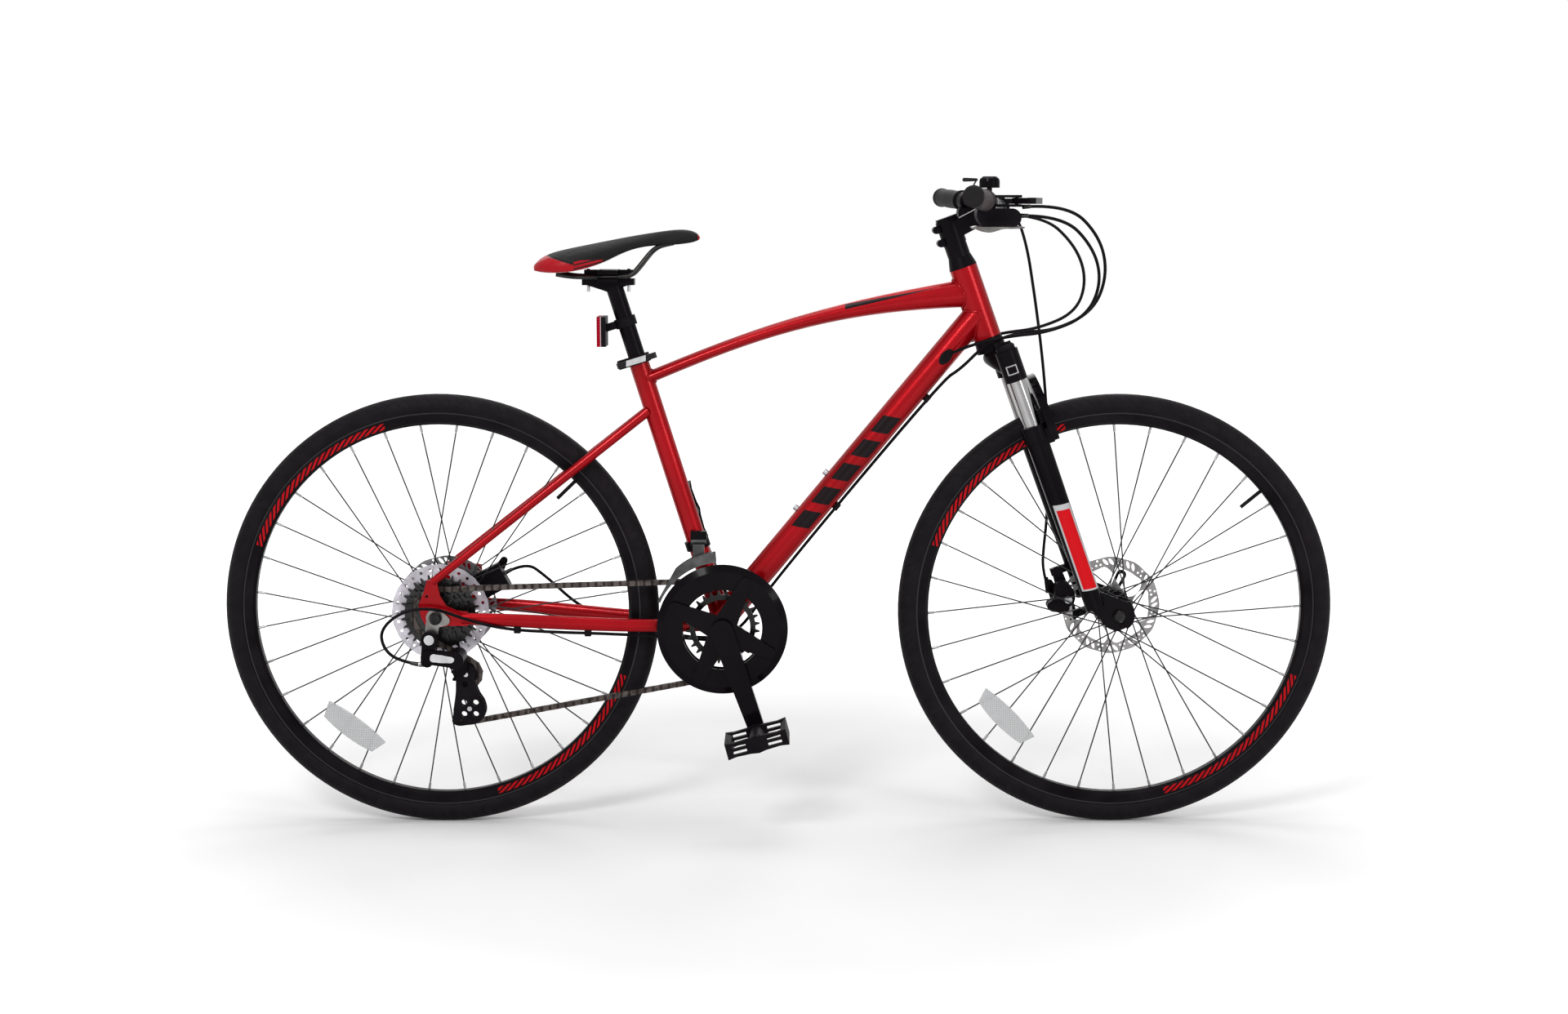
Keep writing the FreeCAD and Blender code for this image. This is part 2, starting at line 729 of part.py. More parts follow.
# Fork: steerer with crown, stanchions, lower legs
socketBottom = lowerTop + size.fork_travel + 15
socketTop = socketBottom + size.socket_height
crownGap = size.side_gap
stemBottom = headTop + crownGap + size.cone_height + size.spacer_height
stemTop = stemBottom + size.stem_height


def forkCrown():
    steererStart = steer(headBottom - 20)
    steererLength = stemTop - headBottom + 20
    steerer = cylinder("steerer", size.steerer_diameter / 2, steererLength, steererStart, steerUp)
    seatRing = cone("crown_race", 24, size.head_tube_diameter / 2, 22 - crownGap, steer(headBottom - 22), steerUp)
    parts = [steerer, seatRing]
    sections = []
    for index, (side, along, ahead, tall, deep) in enumerate(
        ((-1, -5, 1, 32, 31), (0, 16, 0.2, 32, 42), (1, -5, 1, 32, 31))
    ):
        middle = socketBottom + size.socket_height / 2 + along
        centre = steer(middle, size.leg_lead * ahead, side * size.leg_spacing / 2)
        section = add("Part::Ellipse", "crown_section_%d" % index)
        bind(section, MajorRadius=max(tall, deep) / 2, MinorRadius=min(tall, deep) / 2)
        section.Placement = facing(centre, steerUp if tall > deep else steerAhead, yAxis)
        sections.append(section)
    parts.append(loft("crown_bridge", sections))
    holes = []
    for side in (-1, 1):
        place = steer(socketBottom, size.leg_lead, side * size.leg_spacing / 2)
        parts.append(
            cylinder("crown_socket_%d" % (side + 1), size.socket_diameter / 2, size.socket_height, place, steerUp)
        )
        depth = size.socket_height - 5
        holes.append(
            cylinder("socket_bore_%d" % (side + 1), size.stanchion_diameter / 2, depth, place - steerUp, steerUp)
        )
    inner = size.steerer_diameter / 2 - size.steerer_wall
    holes.append(cylinder("steerer_bore", inner, steererLength, steer(headBottom - 10), steerUp))
    return node("fork_crown", cut("fork_crown", fuse("crown_solid", *parts), *holes))


def stanchions():
    tubes = []
    bottom = 155.0
    for side in (-1, 1):
        start = steer(bottom, size.leg_lead, side * size.leg_spacing / 2)
        length = socketTop - 6 - bottom
        tubes.append(
            sleeve(
                "stanchion_%d" % (side + 1), size.stanchion_diameter / 2,
                size.stanchion_diameter / 2 - size.stanchion_wall, length, start, steerUp,
            )
        )
    return group("stanchions", *tubes)


def lockoutKnob():
    start = steer(socketTop + size.side_gap, size.leg_lead, -size.leg_spacing / 2)
    grip = size.socket_diameter / 2 - 3
    knob = spun(
        "knob_turned", start, steerUp,
        [(0, 0), (grip, 0), (grip, 6), (grip - 3, 9), (0, 9)],
    )
    bar = box("knob_bar", 22, 5, 4, facing(start + steerUp * 8.5, steerAhead, steerUp))
    return node("lockout_knob", fuse("lockout_knob", knob, bar))


legFoot = 26.0
forkEnd = 8.0


def forkLowers():
    parts = []
    holes = []
    for side in (-1, 1):
        tag = "right" if side < 0 else "left"
        y = side * size.leg_spacing / 2
        foot = steer(legFoot, size.leg_lead, y)
        legLength = lowerTop - legFoot
        parts.append(
            cone(tag + "_leg", size.lower_foot_diameter / 2, size.lower_diameter / 2 - 1, legLength, foot, steerUp)
        )
        wiper = steer(lowerTop - 26, size.leg_lead, y)
        parts.append(cylinder(tag + "_collar", size.lower_diameter / 2 + 1, 26, wiper, steerUp))
        inner = side * size.front_hub_width / 2
        plateStart = inner if side < 0 else inner + forkEnd
        place = facing(steer(0, 0, plateStart), steerAhead, -yAxis)
        outline = belt((size.leg_lead, legFoot + 16, 14), (size.fork_offset, 0, 25))
        parts.append(slab(tag + "_fork_end", outline, forkEnd, place))
        bore = size.stanchion_diameter / 2 + size.running_fit
        holes.append(cylinder(tag + "_leg_bore", bore, legLength, steer(88, size.leg_lead, y), steerUp))
    parts.append(forkArch())
    parts += brakePosts()
    for side in (-1, 1):
        tag = "right" if side < 0 else "left"
        notch = box(
            tag + "_axle_notch", size.front_axle_diameter + 0.2, 2 * forkEnd, 40,
            facing(steer(0, size.fork_offset, side * (size.front_hub_width / 2 + forkEnd / 2)), steerAhead, -steerUp),
        )
        roundEnd = cylinder(
            tag + "_axle_seat", size.front_axle_diameter / 2 + 0.1, 2 * forkEnd,
            frontAxle + yAxis * (side * (size.front_hub_width / 2 + forkEnd / 2) - forkEnd), yAxis,
        )
        holes += [notch, roundEnd]
    return node("fork_lowers", cut("fork_lowers", fuse("lower_casting", *parts), *holes))


def forkArch():
    # Brace over the tyre, ahead of the legs.
    half = size.leg_spacing / 2
    crest = wheelRadius + 56
    foot = lowerTop - 22
    place = facing(steer(0, 37, 0), yAxis, steerAhead)
    outer = Part.Wire([
        Part.Arc(Vector(-half - 12, foot - 10, 0), Vector(0, crest, 0), Vector(half + 12, foot - 10, 0)).toShape(),
        Part.makeLine(Vector(half + 12, foot - 10, 0), Vector(-half - 12, foot - 10, 0)),
    ])
    left = Vector(-half + 14, foot - 16, 0)
    right = Vector(half - 14, foot - 16, 0)
    inner = Part.Wire([
        Part.Arc(left, Vector(0, crest - 28, 0), right).toShape(),
        Part.makeLine(right, left),
    ])
    arch = slab("arch_plate", outer, 13, place, inner)
    feet = [
        box("arch_foot_%d" % (side + 1), 24, 26, 24, facing(steer(foot - 12, 30, side * half), steerAhead, steerUp))
        for side in (-1, 1)
    ]
    return fuse("fork_arch", arch, *feet)


caliperHalf = 13.0
lugWidth = 10.0
# Brake lugs behind the left leg: height above the axle, middle and length along the fork's offset
brakeLugs = [(-4, 5, 60), (74, -8, 34)]


def brakePosts():
    lugs = []
    y = frontRotorY + caliperHalf + lugWidth / 2
    for index, (along, middle, length) in enumerate(brakeLugs):
        place = facing(steer(along, middle, y), steerAhead, steerUp)
        lugs.append(box("brake_lug_%d" % index, length, lugWidth, 12, place))
    return lugs


forkCrown()
stanchions()
lockoutKnob()
forkLowers()

# Cockpit: stem, handlebar, grips, control units, levers and bell
stemMiddle = stemBottom + size.stem_height / 2
barCentre = steer(stemMiddle + size.stem_rise, size.stem_length)
# Straight end of the bar that carries grip, controls and bell, measured across the bike
barStraight = 210.0
barPoints = []
for side in (-1, 1):
    run = [
        barCentre + Vector(-size.bar_sweep, side * size.bar_width / 2, size.bar_rise),
        barCentre + Vector(-size.bar_sweep * 0.25, side * (size.bar_width / 2 - barStraight), size.bar_rise * 0.5),
        barCentre + Vector(0, side * 45, 0),
    ]
    barPoints += run if side < 0 else run[::-1]


def barAt(side, inward):
    # Point of the bar, measured from its end.
    end, knee = (barPoints[0], barPoints[1]) if side < 0 else (barPoints[-1], barPoints[-2])
    return end + Vector(knee - end).normalize() * float(inward)


def barInward(side):
    return (barAt(side, 100) - barAt(side, 0)).normalize()


def stem():
    clamp = cylinder("stem_clamp", size.steerer_diameter / 2 + 4.5, size.stem_height, steer(stemBottom), steerUp)
    reach = barCentre - steer(stemMiddle)
    reachPlace = facing(steer(stemMiddle), steerUp, Vector(reach).normalize())
    extension = box("stem_extension", 27, 34, reach.Length, reachPlace)
    front = cylinder("stem_front", size.bar_clamp_diameter / 2 + 5, 46, barCentre - yAxis * 23, yAxis)
    lugs = [
        cylinder("stem_bolt_%d" % index, 6, 30, steer(along, -21, -15), yAxis)
        for index, along in enumerate((stemBottom + 8, stemBottom + 30))
    ]
    cover = cone(
        "headset_cover", size.head_tube_diameter / 2 + 0.5, size.steerer_diameter / 2 + 4, size.cone_height,
        steer(headTop + crownGap), steerUp,
    )
    spacer = cylinder(
        "spacer", size.steerer_diameter / 2 + 3.5, size.spacer_height,
        steer(headTop + crownGap + size.cone_height), steerUp,
    )
    cap = cylinder("top_cap", size.steerer_diameter / 2 + 3, 4, steer(stemTop), steerUp)
    whole = fuse("stem_solid", clamp, extension, front, cover, spacer, cap, *lugs)
    steererHole = cylinder(
        "stem_bore", size.steerer_diameter / 2, stemTop - headTop - crownGap + 1,
        steer(headTop + crownGap - 1), steerUp,
    )
    barHole = cylinder("stem_bar_bore", size.bar_clamp_diameter / 2, 60, barCentre - yAxis * 30, yAxis)
    return node("stem", cut("stem", whole, steererHole, barHole))


def handlebar():
    bar = swept("bar_tube", size.bar_diameter / 2, barPoints)
    bulge = cylinder("bar_bulge", size.bar_clamp_diameter / 2, 60, barCentre - yAxis * 30, yAxis)
    tapers = [
        cone(
            "bar_taper_%d" % (side + 1), size.bar_clamp_diameter / 2, size.bar_diameter / 2, 12,
            barCentre + yAxis * (30 * side), yAxis * side,
        )
        for side in (-1, 1)
    ]
    return node("handlebar", fuse("handlebar", bar, bulge, *tapers))


def grips():
    sleeves = []
    radius = size.grip_diameter / 2
    bore = size.bar_diameter / 2
    length = size.grip_length
    for side in (-1, 1):
        start = barAt(side, -3)
        sleeves.append(
            spun(
                "right_grip" if side < 0 else "left_grip", start, barInward(side),
                [
                    (0, 0), (radius - 2, 0), (radius + 0.5, 2.5), (radius + 0.5, 6), (radius - 1, 12),
                    (radius, length / 2), (radius - 1, length - 8), (radius + 1.5, length - 4),
                    (radius + 1.5, length), (bore, length), (bore, 3), (0, 3),
                ],
            )
        )
    return group("grips", *sleeves)


unitInset = 149.0
shiftDrop = 37.0
leverPivotAhead = 46.0


def leverHinge(side):
    bar = barAt(side, unitInset)
    return Vector(bar.x + leverPivotAhead, bar.y - side * 8, bar.z)


def controlUnits():
    # Clamp, perch with two cheeks for the brake lever, and the shifter pod below the bar.
    units = []
    for side in (-1, 1):
        tag = "right" if side < 0 else "left"
        at = barAt(side, unitInset)
        inward = barInward(side)
        clamp = cylinder(tag + "_unit_clamp", size.bar_diameter / 2 + 4.5, 20, at - inward * 10, inward)
        hinge = leverHinge(side)
        gap = size.lever_thickness / 2 + size.side_gap
        cheeks = []
        for index, low in enumerate((gap, -gap - 4)):
            outline = belt((0, 0, 11), (leverPivotAhead, -side * 8, 8))
            cheeks.append(
                slab("%s_cheek_%d" % (tag, index), outline, 4, Placement(Vector(at.x, at.y, at.z + low), Rotation()))
            )
        pin = cylinder(tag + "_lever_pin", 3, 2 * gap + 4, hinge - zAxis * (gap + 2))
        podOutline = Part.Wire([
            Part.makeLine(Vector(-14, -11, 0), Vector(38, -11, 0)),
            Part.Arc(Vector(38, -11, 0), Vector(50, -22, 0), Vector(44, -shiftDrop, 0)).toShape(),
            Part.makeLine(Vector(44, -shiftDrop, 0), Vector(-4, -shiftDrop, 0)),
            Part.Arc(Vector(-4, -shiftDrop, 0), Vector(-15, -26, 0), Vector(-14, -11, 0)).toShape(),
        ])
        pod = slab(tag + "_pod", podOutline, 46, sideways(at.x, at.y + 23, at.z))
        neck = box(tag + "_pod_neck", 20, 20, 14, Placement(at - zAxis * 14, Rotation()))
        whole = fuse(tag + "_unit_solid", clamp, pod, neck, pin, *cheeks)
        hole = cylinder(tag + "_unit_bore", size.bar_diameter / 2, 120, at - inward * 60, inward)
        units.append(cut(tag + "_unit", whole, hole))
    return group("shift_brake_units", *units)


def brakeLevers():
    for side in (-1, 1):
        tag = "right" if side < 0 else "left"
        hinge = leverHinge(side)
        bar = barAt(side, unitInset)
        tip = barAt(side, 12)
        thick = size.lever_thickness
        place = Placement(Vector(hinge.x, hinge.y, hinge.z - thick / 2), Rotation())
        knuckle = (bar.x + size.lever_reach - 6 - hinge.x, side * 22)
        end = (tip.x + size.lever_reach - hinge.x, tip.y - hinge.y)
        root = slab(tag + "_lever_root", belt((0, 0, 7), (*knuckle, 6)), thick, place)
        blade = slab(tag + "_lever_blade", belt((*knuckle, 6), (*end, 5)), thick, place)
        ball = slab(tag + "_lever_ball", circle(*end, 6.5), thick, place)
        hole = cylinder(tag + "_lever_hole", 3 + size.running_fit, thick + 2, hinge - zAxis * (thick / 2 + 1))
        label = tag + "_brake_lever"
        node(label, cut(label, fuse(tag + "_lever_solid", root, blade, ball), hole))


def shiftLevers():
    for side in (-1, 1):
        tag = "right" if side < 0 else "left"
        at = barAt(side, unitInset)
        low = at.z - shiftDrop - size.side_gap - 3.5
        place = Placement(Vector(at.x + 18, at.y, low), Rotation())
        plate = slab(tag + "_shift_plate", belt((0, 0, 20), (30, -side * 4, 9)), 3.5, place)
        thumb = slab(tag + "_shift_thumb", belt((0, 0, 12), (-34, -side * 18, 9)), 3.5, place)
        label = tag + "_shift_lever"
        node(label, fuse(label, plate, thumb))


bellInset = 184.0


def bell():
    at = barAt(-1, bellInset)
    inward = barInward(-1)
    radius = size.bell_diameter / 2
    band = sleeve("bell_band", size.bar_diameter / 2 + 2.5, size.bar_diameter / 2, 10, at - inward * 5, inward)
    foot = cylinder("bell_post", 4, 13, at + zAxis * (size.bar_diameter / 2 + 1))
    base = at + zAxis * (size.bar_diameter / 2 + 10)
    dome = spun(
        "bell_dome", base, zAxis,
        [
            (0, size.bell_height), (radius - 5, size.bell_height), (radius - 1.2, size.bell_height - 3),
            (radius, size.bell_height - 7), (radius, 0), (radius - 1.5, 0),
            (radius - 1.5, size.bell_height - 7), (radius - 6, size.bell_height - 2), (0, size.bell_height - 2),
        ],
    )
    stalk = cylinder("bell_stalk", 3, size.bell_height - 1, base)
    return node("bell", fuse("bell", band, foot, dome, stalk))


strikerBack = 24.0


def strikerHinge():
    return barAt(-1, bellInset) + Vector(-strikerBack, 0, size.bar_diameter / 2 + 8)


def bellStriker():
    hinge = strikerHinge()
    pivot = barAt(-1, bellInset) + Vector(-size.bar_diameter / 2 - 5.8, 0, -1)
    eye = cylinder("striker_eye", 2.2, 6, pivot - yAxis * 3, yAxis)
    wire = swept(
        "striker_wire", 1.2,
        [
            pivot,
            hinge + Vector(1, 0, -5),
            hinge + Vector(0, 0, 6),
            hinge + Vector(4, 0, 13),
        ],
        0.4,
    )
    thumbPlace = sideways(hinge.x + 4, hinge.y + 1.5, hinge.z + 14)
    thumb = slab("striker_thumb", belt((0, 0, 2.2), (-18, 0, 3)), 3, thumbPlace)
    return node("bell_striker", fuse("bell_striker", eye, wire, thumb))


stem()
handlebar()
grips()
controlUnits()
brakeLevers()
shiftLevers()
bell()
bellStriker()

# Wheels
flangeHole = size.flange_radius - 4


def hubShell(name, axle, axleDiameter, half, rightFlange, leftFlange, rotorSide, core):
    # Turned about the axle, measured from the centre plane towards the left.
    bore = axleDiameter / 2 + size.running_fit
    thick = size.flange_thickness
    mount = rotorSide - size.rotor_thickness / 2
    return spun(
        name, axle, yAxis,
        [
            (bore, -half), (core - 4, -half), (core - 4, -rightFlange - thick / 2),
            (size.flange_radius, -rightFlange - thick / 2), (size.flange_radius, -rightFlange + thick / 2),
            (core, -rightFlange + thick / 2), (core, leftFlange - thick / 2),
            (size.flange_radius, leftFlange - thick / 2), (size.flange_radius, leftFlange + thick / 2),
            (core + 2, leftFlange + thick / 2), (core + 2, mount - 4), (23, mount - 4), (23, mount),
            (bore + 8, mount), (bore + 8, mount + 4), (bore + 4, mount + 7), (bore, mount + 7),
        ],
    )


def rim(name, axle, valveAngle):
    outer = size.rim_outer_radius
    inner = outer - size.rim_depth
    half = size.rim_width / 2
    well = half - size.rim_wall
    ring = spun(
        name + "_ring", axle, yAxis,
        [
            (inner, -half * 0.5), (inner + 4.5, -half + 0.5), (outer, -half), (outer, -well), (outer - 9, -well),
            (outer - 11, -half * 0.35), (outer - 11, half * 0.35), (outer - 9, well), (outer, well), (outer, half),
            (inner + 4.5, half - 0.5), (inner, half * 0.5),
        ],
    )
    hole = cylinder(
        name + "_valve_hole", size.valve_diameter / 2 + size.side_gap, 40,
        radial(axle, valveAngle, outer - 40, 0), radial(Vector(), valveAngle, 1, 0),
    )
    return node(name, cut(name, ring, hole))


def tyre(name, axle, valveAngle):
    half = size.tyre_width / 2
    middle = wheelRadius - half
    torus = bind(add("Part::Torus", name + "_round"), Radius1=middle, Radius2=half)
    torus.Placement = aligned(axle, yAxis)
    bead = size.rim_width / 2 - size.rim_wall - 0.1
    inside = half - size.tyre_wall
    outer = size.rim_outer_radius
    tool = outer - 16
    hollow = [
        (tool, -bead + 2), (outer, -bead + 2), (middle - inside * 0.4, -inside * 0.92),
        (middle + inside * 0.4, -inside * 0.92), (middle + inside * 0.92, -inside * 0.4),
        (middle + inside * 0.92, inside * 0.4), (middle + inside * 0.4, inside * 0.92),
        (middle - inside * 0.4, inside * 0.92), (outer, bead - 2), (tool, bead - 2),
    ]
    seats = [
        [(tool, sign * bead), (outer + 0.2, sign * bead), (outer + 0.2, sign * (half + 1)), (tool, sign * (half + 1))]
        for sign in (-1, 1)
    ]
    casing = cut(name + "_casing", torus, spun(name + "_tool", axle, yAxis, hollow, *seats))
    # The air tube is a little smaller than the casing's hollow.
    width = inside * 0.92 - 1.5
    tube = spun(
        name + "_tube_ring", axle, yAxis,
        [
            (outer - 5, -bead + 4), (middle - inside * 0.35, -width), (middle + inside * 0.35, -width),
            (middle + inside * 0.8, -inside * 0.3), (middle + inside * 0.8, inside * 0.3),
            (middle + inside * 0.35, width), (middle - inside * 0.35, width), (outer - 5, bead - 4),
        ],
    )
    foot = outer - size.rim_depth - size.valve_length
    valve = cylinder(
        name + "_valve", size.valve_diameter / 2, outer - foot,
        radial(axle, valveAngle, foot, 0), radial(Vector(), valveAngle, 1, 0),
    )
    return group(name, casing, fuse(name + "_air_tube", tube, valve))


def spokes(name, axle, rightFlange, leftFlange, firstAngle):
    # Laced in pairs: neighbours sit on opposite faces of a flange and lead or trail.
    count = int(size.spokes_per_flange)
    pitch = 360.0 / count
    wire = size.spoke_diameter / 2
    end = size.rim_outer_radius - size.rim_depth - 0.4
    solids = []
    for flange, shift in ((-float(rightFlange), 0), (float(leftFlange), pitch / 2)):
        for index in range(count):
            ahead = 1 if index % 2 else -1
            outward = ahead * flange > 0
            face = ahead * (size.flange_thickness / 2 + wire + (1.2 if outward else 0.1))
            angle = firstAngle + shift + index * pitch
            start = radial(axle, angle + ahead * pitch * size.spoke_crossings, flangeHole, flange + face)
            stop = radial(axle, angle, end, 0)
            run = stop - start
            solid = Part.makeCylinder(wire, run.Length, start, run)
            nipple = Part.makeCylinder(size.nipple_diameter / 2, size.nipple_length, stop, run * -1)
            solids.append(solid.fuse(nipple).removeSplitter())
    return node(name, feature(name, Part.makeCompound(solids)))


def rotor(name, axle, y):
    # Braking ring on six arms.
    radius = size.rotor_diameter / 2
    owner = body(name)
    blank = sketch(owner, name + "_blank", "XY_Plane")

    for index, value in enumerate((radius, 15)):
        blank.addGeometry(Part.Circle(Vector(), zAxis, float(value)))
        blank.addConstraint(Sketcher.Constraint("Coincident", index, 3, -1, 1))
        fixed = blank.addConstraint(Sketcher.Constraint("Radius", index, float(value)))
        if isinstance(value, Formula):
            blank.setExpression("Constraints[%d]" % fixed, value.rule)
    disc = owner.newObject("PartDesign::Pad", name + "_disc")
    disc.Profile = blank
    bind(disc, Length=size.rotor_thickness)
    disc.Midplane = True
    outer = radius - size.rotor_track
    window = sketch(
        owner, name + "_window", "XY_Plane",
        [(31, -10), (outer - 6, -outer * 0.4), (outer - 3, 0), (outer - 6, outer * 0.4), (31, 10)],
    )
    pocket = owner.newObject("PartDesign::Pocket", name + "_pocket")
    pocket.Profile = window
    pocket.Type = "ThroughAll"
    pocket.Midplane = True
    pattern = owner.newObject("PartDesign::PolarPattern", name + "_pattern")
    pattern.Originals = [pocket]
    pattern.Axis = (blank, ["N_Axis"])
    pattern.Angle = 360
    pattern.Occurrences = 6
    owner.Tip = pattern
    owner.Placement = aligned(axle + yAxis * y, yAxis)
    return node(name, owner)


def spokeReflector(name, axle, angle, radius, y):
    middle = radial(axle, angle, radius, y)
    outward = radial(Vector(), angle, 1, 0)
    along = outward.cross(yAxis)
    place = facing(middle - yAxis * (size.reflector_depth / 2), along, yAxis)
    half = size.reflector_length / 2
    rise = size.reflector_height / 2
    bow = 5.0
    outline = Part.Wire([
        Part.Arc(Vector(-half, -rise + bow, 0), Vector(0, -rise, 0), Vector(half, -rise + bow, 0)).toShape(),
        Part.makeLine(Vector(half, -rise + bow, 0), Vector(half - 8, rise - bow, 0)),
        Part.Arc(Vector(half - 8, rise - bow, 0), Vector(0, rise, 0), Vector(-half + 8, rise - bow, 0)).toShape(),
        Part.makeLine(Vector(-half + 8, rise - bow, 0), Vector(-half, -rise + bow, 0)),
    ])
    return node(name, slab(name, outline, size.reflector_depth, place))


frontFlanges = (33.0, 22.0)
rearFlanges = (20.0, 33.0)
frontHub = hubShell(
    "front_hub", frontAxle, size.front_axle_diameter, size.front_hub_width / 2 - 4, *frontFlanges, frontRotorY, 15
)
node("front_hub", frontHub)
rearHub = hubShell("rear_hub", rearAxle, size.rear_axle_diameter, 26.5, *rearFlanges, rearRotorY, 17)
node("rear_hub", rearHub)
for label, axle, flanges, first, valve in (
    ("front", frontAxle, frontFlanges, 10.1, 50.2),
    ("rear", rearAxle, rearFlanges, 5.5, 46.0),
):
    rim(label + "_rim", axle, valve)
    tyre(label + "_tyre", axle, valve)
    spokes(label + "_spokes", axle, *flanges, first)
rotor("front_rotor", frontAxle, frontRotorY)
rotor("rear_rotor", rearAxle, rearRotorY)
spokeReflector("front_spoke_reflector", frontAxle, 225, size.rim_outer_radius - 72, -13.5)
spokeReflector("rear_spoke_reflector", rearAxle, 217.6, size.rim_outer_radius - 76, -10.7)


def spokeProtector():
    collar = 17 - 4
    return node(
        "spoke_protector",
        spun(
            "spoke_protector", rearAxle, yAxis,
            [
                (collar, -26.5), (size.protector_radius, -25.2), (size.protector_radius, -24),
                (26, -24.9), (collar, -24.9),
            ],
        ),
    )


spokeProtector()


# Axles with their nuts and quick-release levers
def axleSet(name, axle, diameter, half, plate, hubEnds, extra=0.0, hanger=None):
    # Axle, cones between hub and frame, nut on the drive side and cup on the left.
    radius = diameter / 2
    start = -half - plate - extra - 9
    stop = half + plate + 2.5
    shaft = cylinder(name + "_shaft", radius, stop - start, axle + yAxis * start, yAxis)
    nut = spun(
        name + "_nut", axle + yAxis * (-half - plate - extra), -yAxis,
        [(radius, 0), (10, 0), (10, 5), (7.5, 9), (radius, 9)],
    )
    cup = cylinder(name + "_cup", 10, 2.5, axle + yAxis * (half + plate), yAxis)
    cones = []
    for index, (low, high) in enumerate(((-half, -hubEnds[0]), (hubEnds[1], half))):
        cones.append(cylinder("%s_cone_%d" % (name, index), radius + 3, high - low, axle + yAxis * low, yAxis))
    parts = [shaft, nut, cup, *cones]
    if hanger:
        parts.append(hanger)
    return node(name, fuse(name, *parts))


leverRoot = 7.0


def quickLever(name, axle, y, direction):
    # Round eye across the axle's end and a lever that lies flat when closed.
    hinge = axle + yAxis * (y + size.side_gap + leverRoot)
    across = yAxis.cross(direction)
    eye = cylinder(name + "_eye", leverRoot, 13, hinge - across * 6.5, across)
    place = facing(hinge - yAxis * 2.5, direction, yAxis)
    arm = slab(name + "_arm", belt((0, 0, 6), (50, 0, 8)), 5, place, belt((34, 0, 3), (48, 0, 4)))
    return node(name, fuse(name, eye, arm))


hangerBolt = Vector(-8.5, 0, -32)
hangerStart = size.rear_hub_width / 2 + size.dropout_thickness


def hangerPlate():
    place = sideways(rearAxle.x, -hangerStart, rearAxle.z)
    upper = slab("hanger_upper", belt((0, 0, 15), (14, -4, 8)), size.hanger_thickness, place)
    lower = slab(
        "hanger_lower", belt((-3, 0, 11), (hangerBolt.x, hangerBolt.z, 10)), size.hanger_thickness, place,
        circle(hangerBolt.x, hangerBolt.z, 5),
    )
    return fuse("hanger_plate", upper, lower)


cassetteEnd = 66.2
axleSet(
    "front_axle", frontAxle, size.front_axle_diameter, size.front_hub_width / 2, forkEnd,
    (size.front_hub_width / 2 - 4 + size.side_gap, frontRotorY - size.rotor_thickness / 2 + 7 + size.side_gap),
)
axleSet(
    "rear_axle", rearAxle, size.rear_axle_diameter, size.rear_hub_width / 2, size.dropout_thickness,
    (cassetteEnd + size.side_gap, rearRotorY - size.rotor_thickness / 2 + 7 + size.side_gap),
    size.hanger_thickness, hangerPlate(),
)
quickLever("front_qr_lever", frontAxle, size.front_hub_width / 2 + forkEnd + 2.5, Vector(0.42, 0, 0.9).normalize())
quickLever(
    "rear_qr_lever", rearAxle, size.rear_hub_width / 2 + size.dropout_thickness + 2.5,
    Vector(-0.9, 0, 0.42).normalize()
)


# Chain drive
def pitchRadius(teeth):
    return float(size.chain_pitch) / (2 * math.sin(math.pi / float(teeth)))


guideAt = rearAxle + Vector(42, -size.chain_line, -96)
cageRest = 277.0


def drivePath(cageAngle):
    # Pitch line of the chain, seen from the drive side: arcs (centre, radius, turn) in running order.
    lean = math.radians(cageAngle)
    span = float(size.pulley_spacing)
    tension = (guideAt.x + span * math.cos(lean), guideAt.z + span * math.sin(lean))
    wheels = [
        ((bracket.x, bracket.z), pitchRadius(size.middle_teeth), 1),
        ((rearAxle.x, rearAxle.z), pitchRadius(cogTeeth[chainCog]), 1),
        ((guideAt.x, guideAt.z), pitchRadius(size.pulley_teeth), -1),
        (tension, pitchRadius(size.pulley_teeth), 1),
    ]
    leaves = []
    for index, (centre, radius, turn) in enumerate(wheels):
        (nextX, nextZ), nextRadius, nextTurn = wheels[(index + 1) % len(wheels)]
        spanX, spanZ = nextX - centre[0], nextZ - centre[1]
        span = math.hypot(spanX, spanZ)
        heading = math.atan2(spanZ, spanX) + math.asin((radius * turn - nextRadius * nextTurn) / span)
        leaves.append((heading, math.sqrt(span**2 - (nextRadius * nextTurn - radius * turn) ** 2)))
    pieces = []
    for index, (centre, radius, turn) in enumerate(wheels):
        arrive = leaves[index - 1][0]
        leave, run = leaves[index]
        sweep = (turn * (leave - arrive)) % (2 * math.pi)
        pieces.append((radius * sweep, centre, radius, turn, arrive))
        pieces.append((run, centre, radius, turn, leave))
    return pieces


def pathPoint(pieces, along):
    for index, (length, centre, radius, turn, heading) in enumerate(pieces):
        if along <= length or index == len(pieces) - 1:
            break
        along -= length
    if index % 2 == 0:
        heading += turn * along / radius
        along = 0
    x = centre[0] + radius * turn * math.sin(heading) + along * math.cos(heading)
    z = centre[1] - radius * turn * math.cos(heading) + along * math.sin(heading)
    return x, z


def walk(pieces, count):
    # Pins one pitch apart along the path, and how far the last overshoots the loop.
    total = sum(piece[0] for piece in pieces)
    pitch = float(size.chain_pitch)
    along = 0.0
    pins = [pathPoint(pieces, 0.0)]
    for step in range(count):
        low, high = along, along + 1.2 * pitch
        for halving in range(40):
            middle = (low + high) / 2
            x, z = pathPoint(pieces, middle % total)
            if math.hypot(x - pins[-1][0], z - pins[-1][1]) < pitch:
                low = middle
            else:
                high = middle
        along = low
        pins.append(pathPoint(pieces, along % total))
    return pins[:-1], along - total


